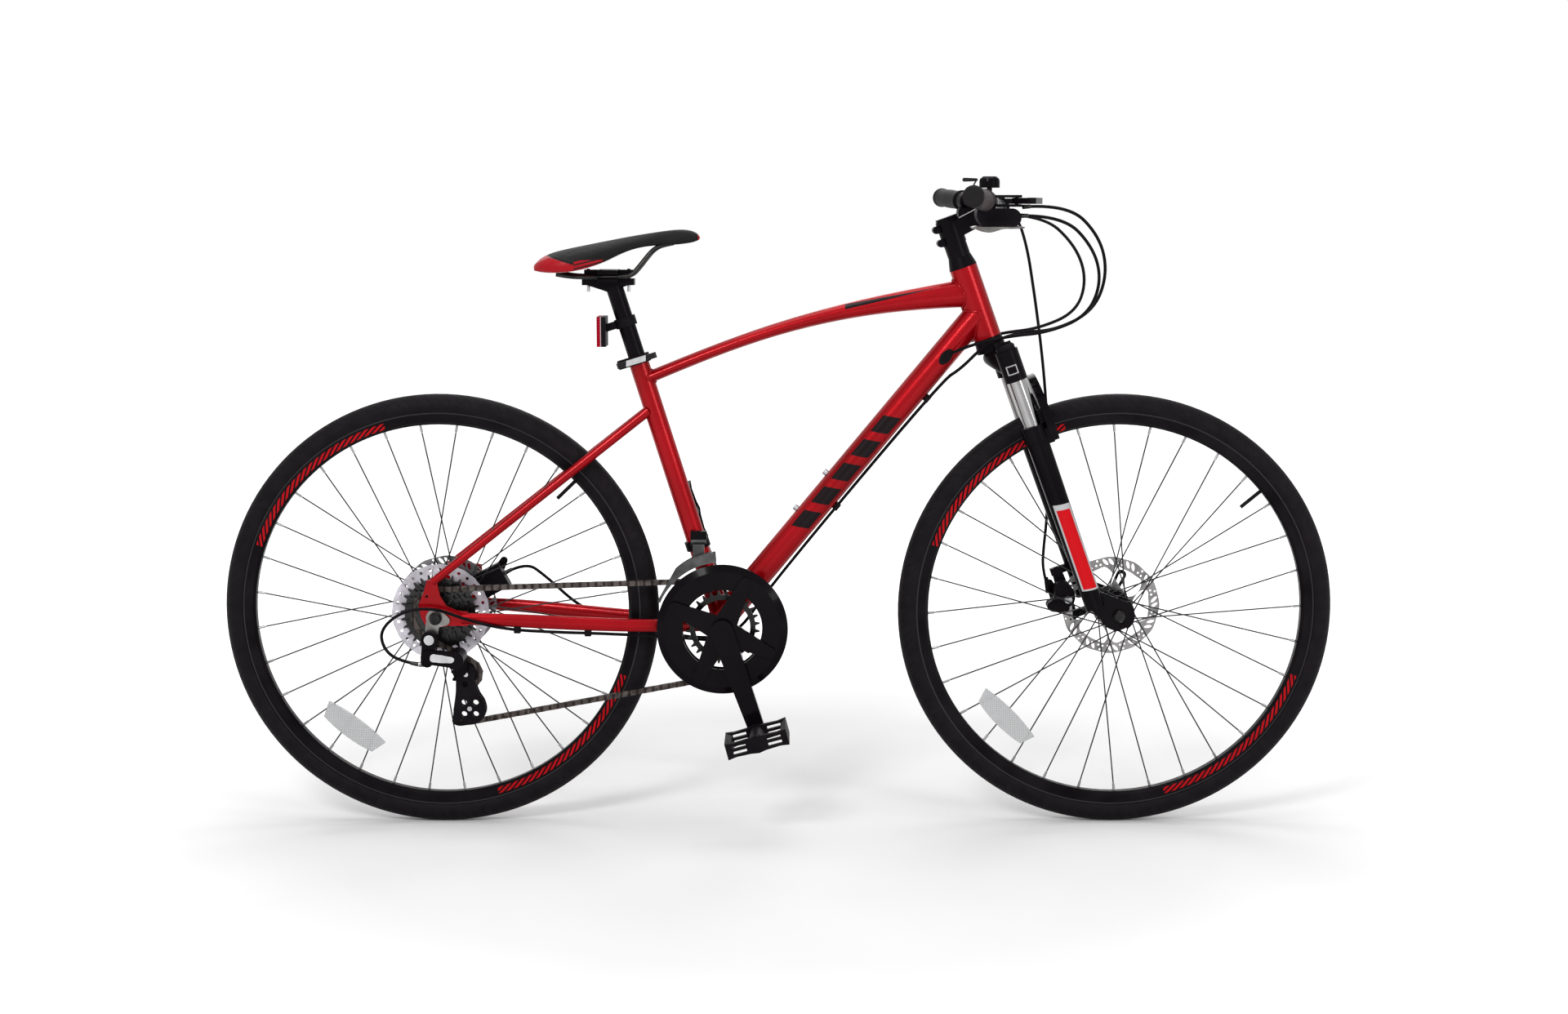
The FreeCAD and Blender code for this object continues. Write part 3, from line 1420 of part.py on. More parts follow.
def closeChain():
    # The cage turns until a whole, even number of links closes the loop.
    length = sum(piece[0] for piece in drivePath(cageRest))
    count = 2 * round(length / float(size.chain_pitch) / 2)
    low, high = cageRest - 40, cageRest + 40
    slackLow = walk(drivePath(low), count)[1]
    for halving in range(30):
        middle = (low + high) / 2
        slack = walk(drivePath(middle), count)[1]
        if (slack > 0) == (slackLow > 0):
            low = middle
        else:
            high = middle
    return low, walk(drivePath(low), count)[0]


cageAngle, pins = closeChain()
cageTurn = math.radians(cageAngle)
tensionAt = guideAt + Vector(math.cos(cageTurn), 0, math.sin(cageTurn)) * size.pulley_spacing
print("chain links", len(pins), "cage angle %.2f" % cageAngle)


def phase(centre, teeth):
    # Angle of a tooth gap, taken from a pin that lies on the sprocket.
    radius = pitchRadius(teeth)
    nearest = min(pins, key=lambda pin: abs(math.hypot(pin[0] - centre.x, pin[1] - centre.z) - radius))
    return math.atan2(nearest[1] - centre.z, nearest[0] - centre.x)


def toothOutline(teeth, start):
    # Straight-flanked gaps that clear the rollers, with flat tips between them.
    radius = pitchRadius(teeth)
    gap = size.roller_diameter / 3.85
    corners = ((1.15 * gap, -2.75 * gap), (-2.1 * gap, -1.5 * gap), (-2.1 * gap, 1.5 * gap), (1.15 * gap, 2.75 * gap))
    points = []
    for index in range(int(teeth)):
        angle = start + 2 * math.pi * index / int(teeth)
        for rise, aside in corners:
            distance = radius + rise
            x = distance * math.cos(angle) - aside * math.sin(angle)
            y = distance * math.sin(angle) + aside * math.cos(angle)
            points.append((x, y))
    return points


def chain():
    # Inner links carry the rollers, outer links the pins; every plate is a long octagon.
    half = size.plate_height / 2
    corner = half * math.tan(math.pi / 8)
    pitch = size.chain_pitch
    outline = [
        (-half, -corner), (-corner, -half), (pitch + corner, -half), (pitch + half, -corner),
        (pitch + half, corner), (pitch + corner, half), (-corner, half), (-half, corner),
    ]
    plate = Part.Face(polygon(outline))
    innerSide = size.chain_inside / 2
    outerSide = innerSide + size.plate_thickness + 0.1
    roller = Part.makePolygon([
        Vector(math.cos(step * math.pi / 4), math.sin(step * math.pi / 4), 0) * (size.roller_diameter / 2)
        for step in range(9)
    ])

    def pair(side):
        shapes = []
        for low in (side, -side - size.plate_thickness):
            moved = plate.translated(Vector(0, 0, low))
            shapes.append(moved.extrude(Vector(0, 0, float(size.plate_thickness))))
        return shapes

    rollers = []
    for at in (0, pitch):
        face = Part.Face(roller).translated(Vector(float(at), 0, -float(innerSide)))
        rollers.append(face.extrude(Vector(0, 0, float(size.chain_inside))))
    inner = Part.makeCompound(pair(innerSide) + rollers)
    outer = Part.makeCompound(pair(outerSide))
    links = []
    for index, (x, z) in enumerate(pins):
        nextX, nextZ = pins[(index + 1) % len(pins)]
        heading = Vector(nextX - x, 0, nextZ - z).normalize()
        link = (outer if index % 2 else inner).copy()
        link.Placement = facing(Vector(x, -size.chain_line, z), heading, -yAxis)
        links += link.Solids
    return node("chain", feature("chain", Part.makeCompound(links)))


chain()


def sprocket(name, centre, y, teeth, thickness, hole, start):
    place = sideways(centre.x, y + thickness / 2, centre.z)
    return slab(name, polygon(toothOutline(teeth, start)), thickness, place, circle(0, 0, hole))


def cassette():
    hole = 17.0
    pieces = []
    inner = -size.chain_line + (chainCog - len(cogTeeth) + 1) * -size.cog_spacing
    for index, teeth in enumerate(cogTeeth):
        y = -size.chain_line + (index - chainCog) * size.cog_spacing
        start = phase(rearAxle, teeth) if index == chainCog else 0.1 * index
        pieces.append(sprocket("cog_%d" % teeth, rearAxle, y, teeth, size.cog_thickness, hole, start))
    bore = size.rear_axle_diameter / 2 + size.running_fit
    freehub = spun(
        "freehub", rearAxle, -yAxis,
        [
            (bore, 27), (15, 27), (15, 29), (hole, 29), (hole, cassetteEnd - 1.2), (16, cassetteEnd - 1.2),
            (14, cassetteEnd), (bore, cassetteEnd),
        ],
    )
    return group("cassette", freehub, *pieces)


cassette()

# Crankset
crankTurn = math.radians(size.crank_angle)
armOut = Vector(math.sin(crankTurn), 0, -math.cos(crankTurn))
rightPedalAt = bracket + armOut * size.crank_length
leftPedalAt = bracket - armOut * size.crank_length
ringY = {
    "outer": -size.chain_line - size.ring_spacing,
    "middle": -size.chain_line,
    "inner": -size.chain_line + size.ring_spacing,
}
spiderBack = size.chain_line + size.ring_spacing + 8
boltCircle = 52.0
innerBoltCircle = 32.0


def spiderAngles():
    arm = math.atan2(armOut.z, armOut.x)
    return [arm + math.pi / 4 + quarter * math.pi / 2 for quarter in range(4)]


def chainring(name, teeth, inside, tabRadius):
    y = ringY[name]
    start = phase(bracket, teeth) if name == "middle" else 0.0
    ring = sprocket(name + "_ring_rim", bracket, y, teeth, size.ring_thickness, inside, start)
    tabs = []
    for index, angle in enumerate(spiderAngles()):
        place = sideways(bracket.x, y + size.ring_thickness / 2, bracket.z)
        turned = place.multiply(Placement(Vector(), Rotation(zAxis, math.degrees(angle))))
        tab = belt((tabRadius, 0, 8), (inside - 2, 0, 8.5))
        tabs.append(slab("%s_tab_%d" % (name, index), tab, size.ring_thickness, turned))
    return fuse(name + "_ring", ring, *tabs)


def chainrings():
    pieces = [
        chainring("outer", size.outer_teeth, 84, boltCircle),
        chainring("middle", size.middle_teeth, 63, boltCircle),
        chainring("inner", size.inner_teeth, 44, innerBoltCircle),
    ]
    face = spiderBack
    pieces.append(
        spun(
            "chain_guard", bracket, -yAxis,
            [
                (size.guard_opening, face - 2.5), (size.guard_radius - 12, face - 2.5), (size.guard_radius, face - 7),
                (size.guard_radius, face - 4.5), (size.guard_radius - 11, face), (size.guard_opening, face),
            ],
        )
    )
    half = size.ring_thickness / 2
    stacks = [
        (boltCircle, 6, -ringY["outer"] + half, face),
        (boltCircle, 6, -ringY["middle"] + half, -ringY["outer"] - half),
        (innerBoltCircle, 5, -ringY["inner"] + half, face),
    ]
    for stack, (radius, width, low, high) in enumerate(stacks):
        for index, angle in enumerate(spiderAngles()):
            at = bracket + Vector(math.cos(angle) * radius, -low, math.sin(angle) * radius)
            pieces.append(cylinder("ring_bolt_%d_%d" % (stack, index), width, high - low, at, -yAxis))
    return group("chainrings", *pieces)


chainrings()
pedalEye = 7.0


def crankArm(side):
    tag = "right" if side < 0 else "left"
    inset = size.crank_inset
    y = -inset if side < 0 else inset + size.crank_thickness
    turn = Rotation(zAxis, math.degrees(math.atan2(armOut.z, armOut.x)) + (0 if side < 0 else 180))
    place = sideways(bracket.x, y, bracket.z).multiply(Placement(Vector(), turn))
    parts = [slab(tag + "_arm", belt((0, 0, 18), (size.crank_length, 0, 13)), size.crank_thickness, place)]
    bossStart = size.shell_width / 2 + 6
    parts.append(
        cylinder(tag + "_boss", 17, inset + 1 - bossStart, bracket + yAxis * (side * bossStart), yAxis * side)
    )
    if side < 0:
        for index, angle in enumerate(spiderAngles()):
            spider = sideways(bracket.x, -spiderBack, bracket.z)
            spider = spider.multiply(Placement(Vector(), Rotation(zAxis, math.degrees(angle))))
            outline = belt((8, 0, 19), (size.guard_radius - 20, 0, 9))
            parts.append(slab("spider_%d" % index, outline, inset - spiderBack + 1, spider))
    start = bracket + yAxis * (side * (bossStart - 1))
    eye = rightPedalAt if side < 0 else leftPedalAt
    holes = [
        cylinder(
            tag + "_spindle_hole", size.spindle_diameter / 2, inset + size.crank_thickness - bossStart - 3,
            start, yAxis * side,
        ),
        cylinder(
            tag + "_pedal_hole", pedalEye, size.crank_thickness + 2,
            eye + yAxis * (side * (inset - 1)), yAxis * side,
        ),
    ]
    label = tag + "_crank"
    return node(label, cut(label, fuse(tag + "_crank_solid", *parts), *holes))


pedalGap = 5.0


def crankAxles():
    spindleEnd = size.crank_inset + size.crank_thickness - 6
    pieces = [
        cylinder("spindle", size.spindle_diameter / 2, spindleEnd * 2, bracket - yAxis * spindleEnd, yAxis),
    ]
    for side, eye in ((-1, rightPedalAt), (1, leftPedalAt)):
        tag = "right" if side < 0 else "left"
        inner = eye + yAxis * (side * size.crank_inset)
        thread = cylinder(tag + "_pedal_thread", pedalEye, size.crank_thickness, inner, yAxis * side)
        shoulder = cylinder(
            tag + "_pedal_shoulder", 8.5, pedalGap - size.side_gap,
            inner + yAxis * (side * size.crank_thickness), yAxis * side
        )
        shaft = cylinder(
            tag + "_pedal_shaft", size.pedal_axle_diameter / 2,
            size.crank_thickness + pedalGap + size.pedal_width - 6,
            inner, yAxis * side,
        )
        pieces.append(fuse(tag + "_pedal_axle", thread, shoulder, shaft))
    return group("crank_axles", *pieces)


def pedal(side):
    # Two windowed end plates, tread bars and a barrel on the axle.
    tag = "right" if side < 0 else "left"
    eye = rightPedalAt if side < 0 else leftPedalAt
    start = size.crank_inset + size.crank_thickness + pedalGap
    lean = size.pedal_tilt if side < 0 else size.left_pedal_tilt
    tilt = Placement(Vector(), Rotation(zAxis, float(lean)))
    length = size.pedal_length / 2
    rise = size.pedal_height / 2
    outline = [
        (-length, -rise), (-length + 14, -rise + 2), (-12, -rise + 1), (0, -rise - 1),
        (12, -rise + 1), (length - 14, -rise + 2),
        (length, -rise), (length, rise), (length - 14, rise - 2), (12, rise - 1), (0, rise + 1), (-12, rise - 1),
        (-length + 14, rise - 2), (-length, rise),
    ]
    windows = [
        polygon([
            (sign * 17, low), (sign * (length - 10), low),
            (sign * (length - 10), low + 5.5), (sign * 17, low + 5.5),
        ])
        for sign in (-1, 1)
        for low in (-7.5, 2)
    ]
    parts = []
    plate = 8.0
    for index, offset in enumerate((0.0, size.pedal_width - plate)):
        y = side * (start + offset) + (0 if side < 0 else plate)
        place = sideways(eye.x, y, eye.z).multiply(tilt)
        parts.append(slab("%s_pedal_plate_%d" % (tag, index), polygon(outline), plate, place, *windows))
    inner = side * start + (0 if side < 0 else size.pedal_width)
    place = sideways(eye.x, inner, eye.z).multiply(tilt)
    for index, sign in enumerate((-1, 1)):
        bar = [
            (sign * (length - 9), -rise + 4), (sign * length, -rise),
            (sign * length, rise), (sign * (length - 9), rise - 4),
        ]
        parts.append(slab("%s_tread_%d" % (tag, index), polygon(bar), size.pedal_width, place))
    parts.append(cylinder(tag + "_barrel", 12, size.pedal_width, eye + yAxis * (side * start), yAxis * side))
    bore = cylinder(
        tag + "_pedal_bore", size.pedal_axle_diameter / 2 + size.running_fit, size.pedal_width - 5,
        eye + yAxis * (side * (start - 1)), yAxis * side,
    )
    label = tag + "_pedal"
    return node(label, cut(label, fuse(tag + "_pedal_solid", *parts), bore))


for side in (-1, 1):
    crankArm(side)
    pedal(side)
crankAxles()

# Rear derailleur
cagePivot = guideAt + Vector(-7, 0, 10)
cageHalf = 5.6
cageWall = 1.8
cageDirection = Vector(tensionAt - guideAt).normalize()
boltAt = rearAxle + hangerBolt
knuckleY = -hangerStart - size.hanger_thickness


def rearDerailleur():
    knuckle = cylinder("upper_knuckle", 13, 15, boltAt + yAxis * knuckleY, -yAxis)
    bolt = cylinder("hanger_bolt", 5, size.hanger_thickness + 1, boltAt + yAxis * (knuckleY - 1), yAxis)
    cap = cylinder("bolt_cap", 8, 2, boltAt + yAxis * (knuckleY - 15), -yAxis)
    outer = cagePivot + Vector(-3, 0, 22)
    lowY = -size.chain_line - cageHalf - cageWall - size.side_gap
    tail = slab(
        "link_tail", belt((boltAt.x, boltAt.z, 11), (boltAt.x - 4, boltAt.z - 34, 10)), 13,
        sideways(0, knuckleY - 2, 0)
    )
    link = slab(
        "link_outer", belt((boltAt.x - 2, boltAt.z - 27, 11), (outer.x, outer.z, 12)), 12,
        sideways(0, knuckleY - 9, 0)
    )
    lowerKnuckle = cylinder("lower_knuckle", 14, 40, Vector(outer.x, lowY - 8, outer.z), -yAxis)
    web = slab(
        "knuckle_web", belt((outer.x, outer.z, 13), (cagePivot.x, cagePivot.z, 11)), 12, sideways(0, lowY, 0)
    )
    pin = cylinder("cage_pin", 4, 10 + cageWall, cagePivot + yAxis * (lowY - 10 + size.chain_line), yAxis)
    barrel = cylinder("cable_barrel", 4, 16, Vector(boltAt.x - 18, knuckleY - 9, boltAt.z - 40), xAxis)
    return node(
        "rear_derailleur_body",
        fuse("rear_derailleur_body", knuckle, bolt, cap, tail, link, lowerKnuckle, web, pin, barrel)
    )


def derailleurCage():
    plates = []
    for index, low in enumerate((-cageHalf - cageWall, cageHalf)):
        place = sideways(0, -size.chain_line + low + cageWall, 0)
        arm = belt((guideAt.x - 3, guideAt.z + 5, 15), (tensionAt.x - 6, tensionAt.z, 17))
        upper = slab("cage_upper_%d" % index, arm, cageWall, place)
        lower = slab(
            "cage_lower_%d" % index,
            belt((tensionAt.x - 18, tensionAt.z - 17, 11), (tensionAt.x + 7, tensionAt.z - 8, 18)),
            cageWall, place,
        )
        plates += [upper, lower]
    bolts = [
        cylinder(
            "pulley_bolt_%d" % index, 3, 2 * (cageHalf + cageWall),
            Vector(at.x, at.y - cageHalf - cageWall, at.z), yAxis,
        )
        for index, at in enumerate((guideAt, tensionAt))
    ]
    brace = cylinder(
        "cage_brace", 2.5, 2 * cageHalf, tensionAt + Vector(-22, -cageHalf, -22), yAxis
    )
    hole = cylinder("cage_hole", 4 + size.running_fit, 6, cagePivot + Vector(0, -cageHalf - 4, 0), yAxis)
    whole = fuse("cage_solid", *plates, *bolts, brace)
    return node("rear_derailleur_cage", cut("rear_derailleur_cage", whole, hole))


def pulleys():
    for label, centre in (("guide_pulley", guideAt), ("tension_pulley", tensionAt)):
        start = phase(centre, size.pulley_teeth)
        wheel = sprocket(
            label + "_teeth", centre, -size.chain_line, size.pulley_teeth, size.ring_thickness,
            3 + size.running_fit, start
        )
        hub = sleeve(
            label + "_hub", 7, 3 + size.running_fit, 2 * (cageHalf - size.side_gap),
            centre - yAxis * (cageHalf - size.side_gap), yAxis,
        )
        node(label, fuse(label, wheel, hub))


rearDerailleur()
derailleurCage()
pulleys()

# Front derailleur
cageInner = 107.0
cageOuter = 123.0
frontHinge = bracket + Vector(-38, -26, 136)


def frontDerailleur():
    along = 128.0
    tube = size.seat_tube_diameter / 2
    band = sleeve("derailleur_band", tube + 4, tube, 15, seat(along), seatUp)
    centre = seat(along + 7)
    block = box(
        "derailleur_block", 26, 12, 18,
        Placement(Vector(frontHinge.x, frontHinge.y + 3, frontHinge.z - 1), Rotation()),
    )
    trimmed = cut(
        "derailleur_body_cut", fuse("derailleur_solid", band, block),
        cylinder("derailleur_bore", size.seat_tube_diameter / 2, 60, centre - seatUp * 30, seatUp),
        cylinder("hinge_clear", 5, 30, frontHinge - xAxis * 15, xAxis),
    )
    return node("front_derailleur_body", trimmed)


def sector(inner, outer, low, high):
    def at(radius, angle):
        turn = math.radians(angle)
        return Vector(math.cos(turn) * radius, math.sin(turn) * radius, 0)

    middle = (low + high) / 2
    return Part.Wire([
        Part.Arc(at(outer, low), at(outer, middle), at(outer, high)).toShape(),
        Part.makeLine(at(outer, high), at(inner, high)),
        Part.Arc(at(inner, high), at(inner, middle), at(inner, low)).toShape(),
        Part.makeLine(at(inner, low), at(outer, low)),
    ])


def cagePlate():
    # Deep at the seat tube, drawn out to a narrow tail over the chain.
    def at(radius, angle):
        turn = math.radians(angle)
        return Vector(math.cos(turn) * radius, math.sin(turn) * radius, 0)

    return Part.Wire([
        Part.Arc(at(cageOuter, 95), at(cageOuter, 112), at(cageOuter - 2, 128)).toShape(),
        Part.makeLine(at(cageOuter - 2, 128), at(cageInner + 5, 157)),
        Part.makeLine(at(cageInner + 5, 157), at(cageInner, 157)),
        Part.Arc(at(cageInner, 157), at(cageInner, 126), at(cageInner, 95)).toShape(),
        Part.makeLine(at(cageInner, 95), at(cageOuter, 95)),
    ])


def frontCage():
    half = 6.0
    wall = 1.6
    plates = []
    for index, y in enumerate((-size.chain_line - half, -size.chain_line + half + wall)):
        place = sideways(bracket.x, y, bracket.z)
        plates.append(slab("front_plate_%d" % index, cagePlate(), wall, place))
    place = sideways(bracket.x, -size.chain_line + half, bracket.z)
    roof = slab("cage_roof", sector(cageOuter - 2, cageOuter, 97, 112), 2 * half, place)
    tail = slab("cage_tail", sector(cageInner, cageInner + 4, 153, 156), 2 * half, place)
    pivot = cylinder("front_cage_pivot", 4.7, 24, frontHinge - xAxis * 12, xAxis)
    inner = -size.chain_line + half
    reach = box(
        "front_cage_arm", 18, frontHinge.y + 2 - inner, 23.5,
        Placement(Vector(frontHinge.x, (frontHinge.y + 2 + inner) / 2, frontHinge.z - 26), Rotation()),
    )
    return node("front_derailleur_cage", fuse("front_derailleur_cage", *plates, roof, tail, pivot, reach))


frontDerailleur()
frontCage()


# Disc brakes
drumDepth = 4.0
caliperReach = 26.0


def caliper(label, axle, rotorY, angle, bracketSlab):
    # Block over the rotor's edge with a slot, a drum for the arm and a bracket to its mount.
    radius = size.rotor_diameter / 2
    outward = radial(Vector(), angle, 1, 0)
    place = facing(axle + outward * (radius - 22) + yAxis * rotorY, yAxis, outward)
    block = box(label + "_block", 2 * caliperHalf, 42, 22 + caliperReach, place)
    slotPlace = facing(axle + outward * (radius - 32) + yAxis * rotorY, yAxis, outward)
    slot = box(label + "_slot", size.rotor_thickness + 2.4, 90, 36, slotPlace)
    drumAt = axle + outward * (radius + 3) + yAxis * (rotorY + caliperHalf)
    drum = cylinder(label + "_drum", 14, drumDepth, drumAt, yAxis)
    return node(label, cut(label, fuse(label + "_solid", block, drum, bracketSlab), slot))


def caliperArm(label, axle, rotorY, angle, direction):
    at = axle + radial(Vector(), angle, 1, 0) * (size.rotor_diameter / 2 + 3)
    place = sideways(at.x, rotorY + caliperHalf + drumDepth + size.side_gap + 4, at.z)
    turned = place.multiply(Placement(Vector(), Rotation(zAxis, direction)))
    return node(label, slab(label, belt((0, 0, 11), (34, 0, 6)), 4, turned))


frontBrakeAngle = 271.5
rearBrakeAngle = 62.0


def brakes():
    ends = [steer(along + 6, middle - length / 2 + 10) for along, middle, length in brakeLugs]
    strap = belt((ends[0].x, ends[0].z, 8), (ends[1].x, ends[1].z, 8))
    frontBracket = slab("front_bracket", strap, 6, sideways(0, frontRotorY + caliperHalf, 0))
    caliper("front_caliper", frontAxle, frontRotorY, frontBrakeAngle, frontBracket)
    strap = belt((rearAxle.x + 36, rearAxle.z + 46, 9), (rearAxle.x + 66, rearAxle.z + 36, 9))
    rearBracket = slab("rear_bracket", strap, 8, sideways(0, size.rear_hub_width / 2, 0))
    caliper("rear_caliper", rearAxle, rearRotorY, rearBrakeAngle, rearBracket)
    caliperArm("front_caliper_arm", frontAxle, frontRotorY, frontBrakeAngle, 115)
    caliperArm("rear_caliper_arm", rearAxle, rearRotorY, rearBrakeAngle, 60)


brakes()


# Small fittings on the frame: bottle bolts, cable guides and port grommets
def fittings():
    pieces = []
    rise = size.down_tube_height / 2
    along = Vector(downTubeRun).normalize()
    for index, share in enumerate((0.545, 0.66)):
        pieces.append(cylinder("bottle_bolt_%d" % index, 5, 6, downTube(share, rise), downTubeUp))
    for index, share in enumerate((0.2436, 0.593)):
        foot = downTube(share, -rise)
        guide = box("cable_guide_%d" % index, 12, 14, 8, facing(foot, along, -downTubeUp))
        groove = cylinder(
            "cable_groove_%d" % index, size.cable_diameter / 2 + 0.1, 20,
            downTube(share, -rise - cableDrop) - along * 10, along,
        )
        pieces.append(cut("cable_clip_%d" % index, guide, groove))
    return group("frame_fittings", *pieces)


cableDrop = 4.0
fittings()


# Cables
def leverPort(side):
    hinge = leverHinge(side)
    return Vector(hinge.x + 9.4, hinge.y, hinge.z - size.lever_thickness / 2 - size.side_gap - 4)


def podPort(side):
    return barAt(side, unitInset) + Vector(51.3, 0, -22)


def strung(start, finish, bends):
    # Run of cable between two places: each bend is a share of the way and an offset from the straight line.
    run = finish - start
    points = [start + run * share + Vector(*offset) for share, *offset in bends]
    return [start, *points, finish]


def frontBrakeRoute():
    return strung(leverPort(1), frontAxle + Vector(-101, 45, 25), [
        (0.03, 21.6, -16.9, 6.0), (0.121, 29.9, -29.8, 9.2), (0.225, 31.4, -34.2, 10.5),
        (0.331, 32.7, -31.3, 9.9), (0.435, 33.1, -22.7, 8.1), (0.538, 31.6, -11.2, 5.7),
        (0.64, 27.2, 1.2, 2.7), (0.743, 20.7, 10.8, 0.3), (0.825, 12.7, 13.7, -1.1),
        (0.893, 1.8, 8.0, -1.1), (0.948, -5.2, 1.7, -1.1),
    ])


def rearBrakeRoute():
    drop = -size.down_tube_height / 2 - cableDrop
    loop = strung(leverPort(-1), downTube(0.185, drop), [
        (-0.043, 65.2, 29.7, -7.2), (0.071, 131.3, 42.7, -25.1), (0.236, 165.8, 43.2, -38.1),
        (0.427, 169.0, 35.4, -44.0), (0.578, 127.0, 25.3, -33.8), (0.646, 78.2, 20.0, -18.2),
        (0.753, 37.6, 9.1, -9.0), (0.912, 18.4, 2.7, -5.6),
    ])
    tail = strung(downTube(0.86, drop), rearAxle + Vector(94.5, 58, 50.3), [
        (0.11, -2.5, 1.6, -80.0), (0.254, -2.7, 5.3, -91.2), (0.416, -1.1, 11.9, -84.6),
        (0.574, 0.7, 22.7, -74.9), (0.723, 1.6, 27.1, -56.2), (0.86, 2.4, 20.1, -4.2),
        (0.928, 1.6, 8.2, 17.8),
    ])
    return loop + tail


def shiftRoute(side, wide):
    # Forward loop from a shifter pod, back past the head tube and into the port of the down tube.
    bends = [
        (-0.037, 62.1 + wide, -28.5, -7.5), (0.083, 126.3 + wide, -37.1, -30.8),
        (0.253, 159.6 + wide, -35.7, -46.9), (0.455, 161.1 + wide, -27.0, -53.8),
        (0.622, 119.1, -16.1, -42.6), (0.729, 70.0, -9.8, -24.7), (0.86, 14.8, 7.4, -12.2),
    ]
    mirrored = [(share, x, side * y, z) for share, x, y, z in bends]
    return strung(podPort(side), cablePort + Vector(-7, side * 13, -5), mirrored)


def chainstayShiftRoute():
    # Under the right chainstay, then a loop behind the dropout into the derailleur.
    return strung(bracket + Vector(-23.1, -22, -24), rearAxle + Vector(-27, -87.5, -72), [
        (0.126, -0.7, 0.3, 10.3), (0.24, -0.8, -0.3, 17.2), (0.388, -1.5, -0.6, 26.1),
        (0.519, -1.9, -1.0, 33.0), (0.694, -2.2, -0.5, 44.0), (0.821, -2.4, -9.2, 65.3),
        (0.932, -3.9, -7.0, 89.2), (1.04, -4.8, 0.1, 87.0), (1.118, -4.3, 5.2, 60.1),
        (1.115, -2.7, 6.0, 30.0), (1.07, -1.1, 4.1, 7.8),
    ])


def cables():
    radius = size.cable_diameter / 2
    routes = {
        "front_brake_cable": frontBrakeRoute(),
        "rear_brake_cable": rearBrakeRoute(),
        "rear_shift_cable": shiftRoute(-1, 0),
        "front_shift_cable": shiftRoute(1, 4),
        "chainstay_shift_cable": chainstayShiftRoute(),
    }
    return group("control_cables", *[swept(name, radius, route) for name, route in routes.items()])


cables()

document.recompute()
broken = [item.Name for item in document.Objects if "Invalid" in item.State or "Error" in item.State]
if broken:
    raise RuntimeError("these objects failed: " + ", ".join(broken))
for label, item in nodes.items():
    shape = item.Shape
    if shape.isNull() or not shape.isValid() or not shape.Solids:
        raise RuntimeError("no sound solid in " + label)
for item, radius, length, radii in sweeps:
    share = item.Shape.Volume / (math.pi * radius**2 * length)
    print("%s length %.0f radii %s volume share %.4f" % (item.Name, length, [round(value) for value in radii], share))
os.makedirs("parts", exist_ok=True)
for label, item in nodes.items():
    item.Shape.exportStep("parts/%s.step" % label)
print(len(nodes), "sub-parts written")
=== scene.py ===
import math
import bmesh
import bpy
from mathutils import Matrix, Vector


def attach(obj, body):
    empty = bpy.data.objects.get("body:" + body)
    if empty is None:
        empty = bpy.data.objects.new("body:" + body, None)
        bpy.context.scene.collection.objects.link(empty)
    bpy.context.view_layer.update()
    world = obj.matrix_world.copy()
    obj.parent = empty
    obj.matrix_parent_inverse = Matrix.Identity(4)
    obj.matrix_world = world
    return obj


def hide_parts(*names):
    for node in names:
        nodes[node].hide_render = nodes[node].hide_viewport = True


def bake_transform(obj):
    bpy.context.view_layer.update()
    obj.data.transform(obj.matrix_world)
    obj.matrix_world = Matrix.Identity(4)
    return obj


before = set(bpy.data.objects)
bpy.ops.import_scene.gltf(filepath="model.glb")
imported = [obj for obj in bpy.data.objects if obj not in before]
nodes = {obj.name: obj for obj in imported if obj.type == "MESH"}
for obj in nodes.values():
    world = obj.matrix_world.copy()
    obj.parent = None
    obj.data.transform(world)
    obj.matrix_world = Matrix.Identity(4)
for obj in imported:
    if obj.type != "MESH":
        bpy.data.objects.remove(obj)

scene = bpy.context.scene
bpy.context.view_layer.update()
print("frame loaded:", len(nodes), "nodes")

# places that the finishes and pieces share, in metres
places = {
    "frontAxle": Vector((0.540, 0, 0.348)),
    "rearAxle": Vector((-0.540, 0, 0.348)),
    "bracket": Vector((-0.08894, 0, 0.326)),
    "steerFoot": Vector((0.49446, 0, 0.33161)),
    "headAngle": math.radians(70.2),
    "downTop": Vector((0.31676, 0, 0.82519)),
    "downFoot": Vector((-0.09294, 0, 0.330)),
    "seatAngle": math.radians(72.5),
}


# node helpers, kept small so each finish below reads as a recipe
finishes = {}


def newFinish(name, centre=(0, 0, 0)):
    # the shader of a new material, and the place on the piece that its recipe starts from
    material = bpy.data.materials.new(name)
    material.use_nodes = True
    finishes[name] = material
    point = objectPoint(material.node_tree, centre)
    return (material.node_tree.nodes["Principled BSDF"], point, *parts(point))


def addNode(tree, kind, **settings):
    node = tree.nodes.new("ShaderNode" + kind)
    for key, value in settings.items():
        setattr(node, key, value)
    return node


def isSocket(value):
    return isinstance(value, bpy.types.NodeSocket)


def feed(node, values):
    # links each input that is given a socket, and sets the others
    for name, value in values.items():
        if isSocket(value):
            node.id_data.links.new(value, node.inputs[name])
        else:
            node.inputs[name].default_value = value


def objectPoint(tree, centre=(0, 0, 0), turn=(0, 0, 0)):
    place = addNode(tree, "TexCoord").outputs["Object"]
    mapping = addNode(tree, "Mapping", vector_type="TEXTURE")
    feed(mapping, {"Vector": place, "Location": centre, "Rotation": turn})
    return mapping.outputs["Vector"]


def parts(point):
    node = addNode(point.id_data, "SeparateXYZ")
    feed(node, {0: point})
    return node.outputs


def sums(operation, first, second=0.0):
    tree = next(value.id_data for value in (first, second) if isSocket(value))
    node = addNode(tree, "Math", operation=operation)
    feed(node, {0: first, 1: second})
    return node.outputs[0]


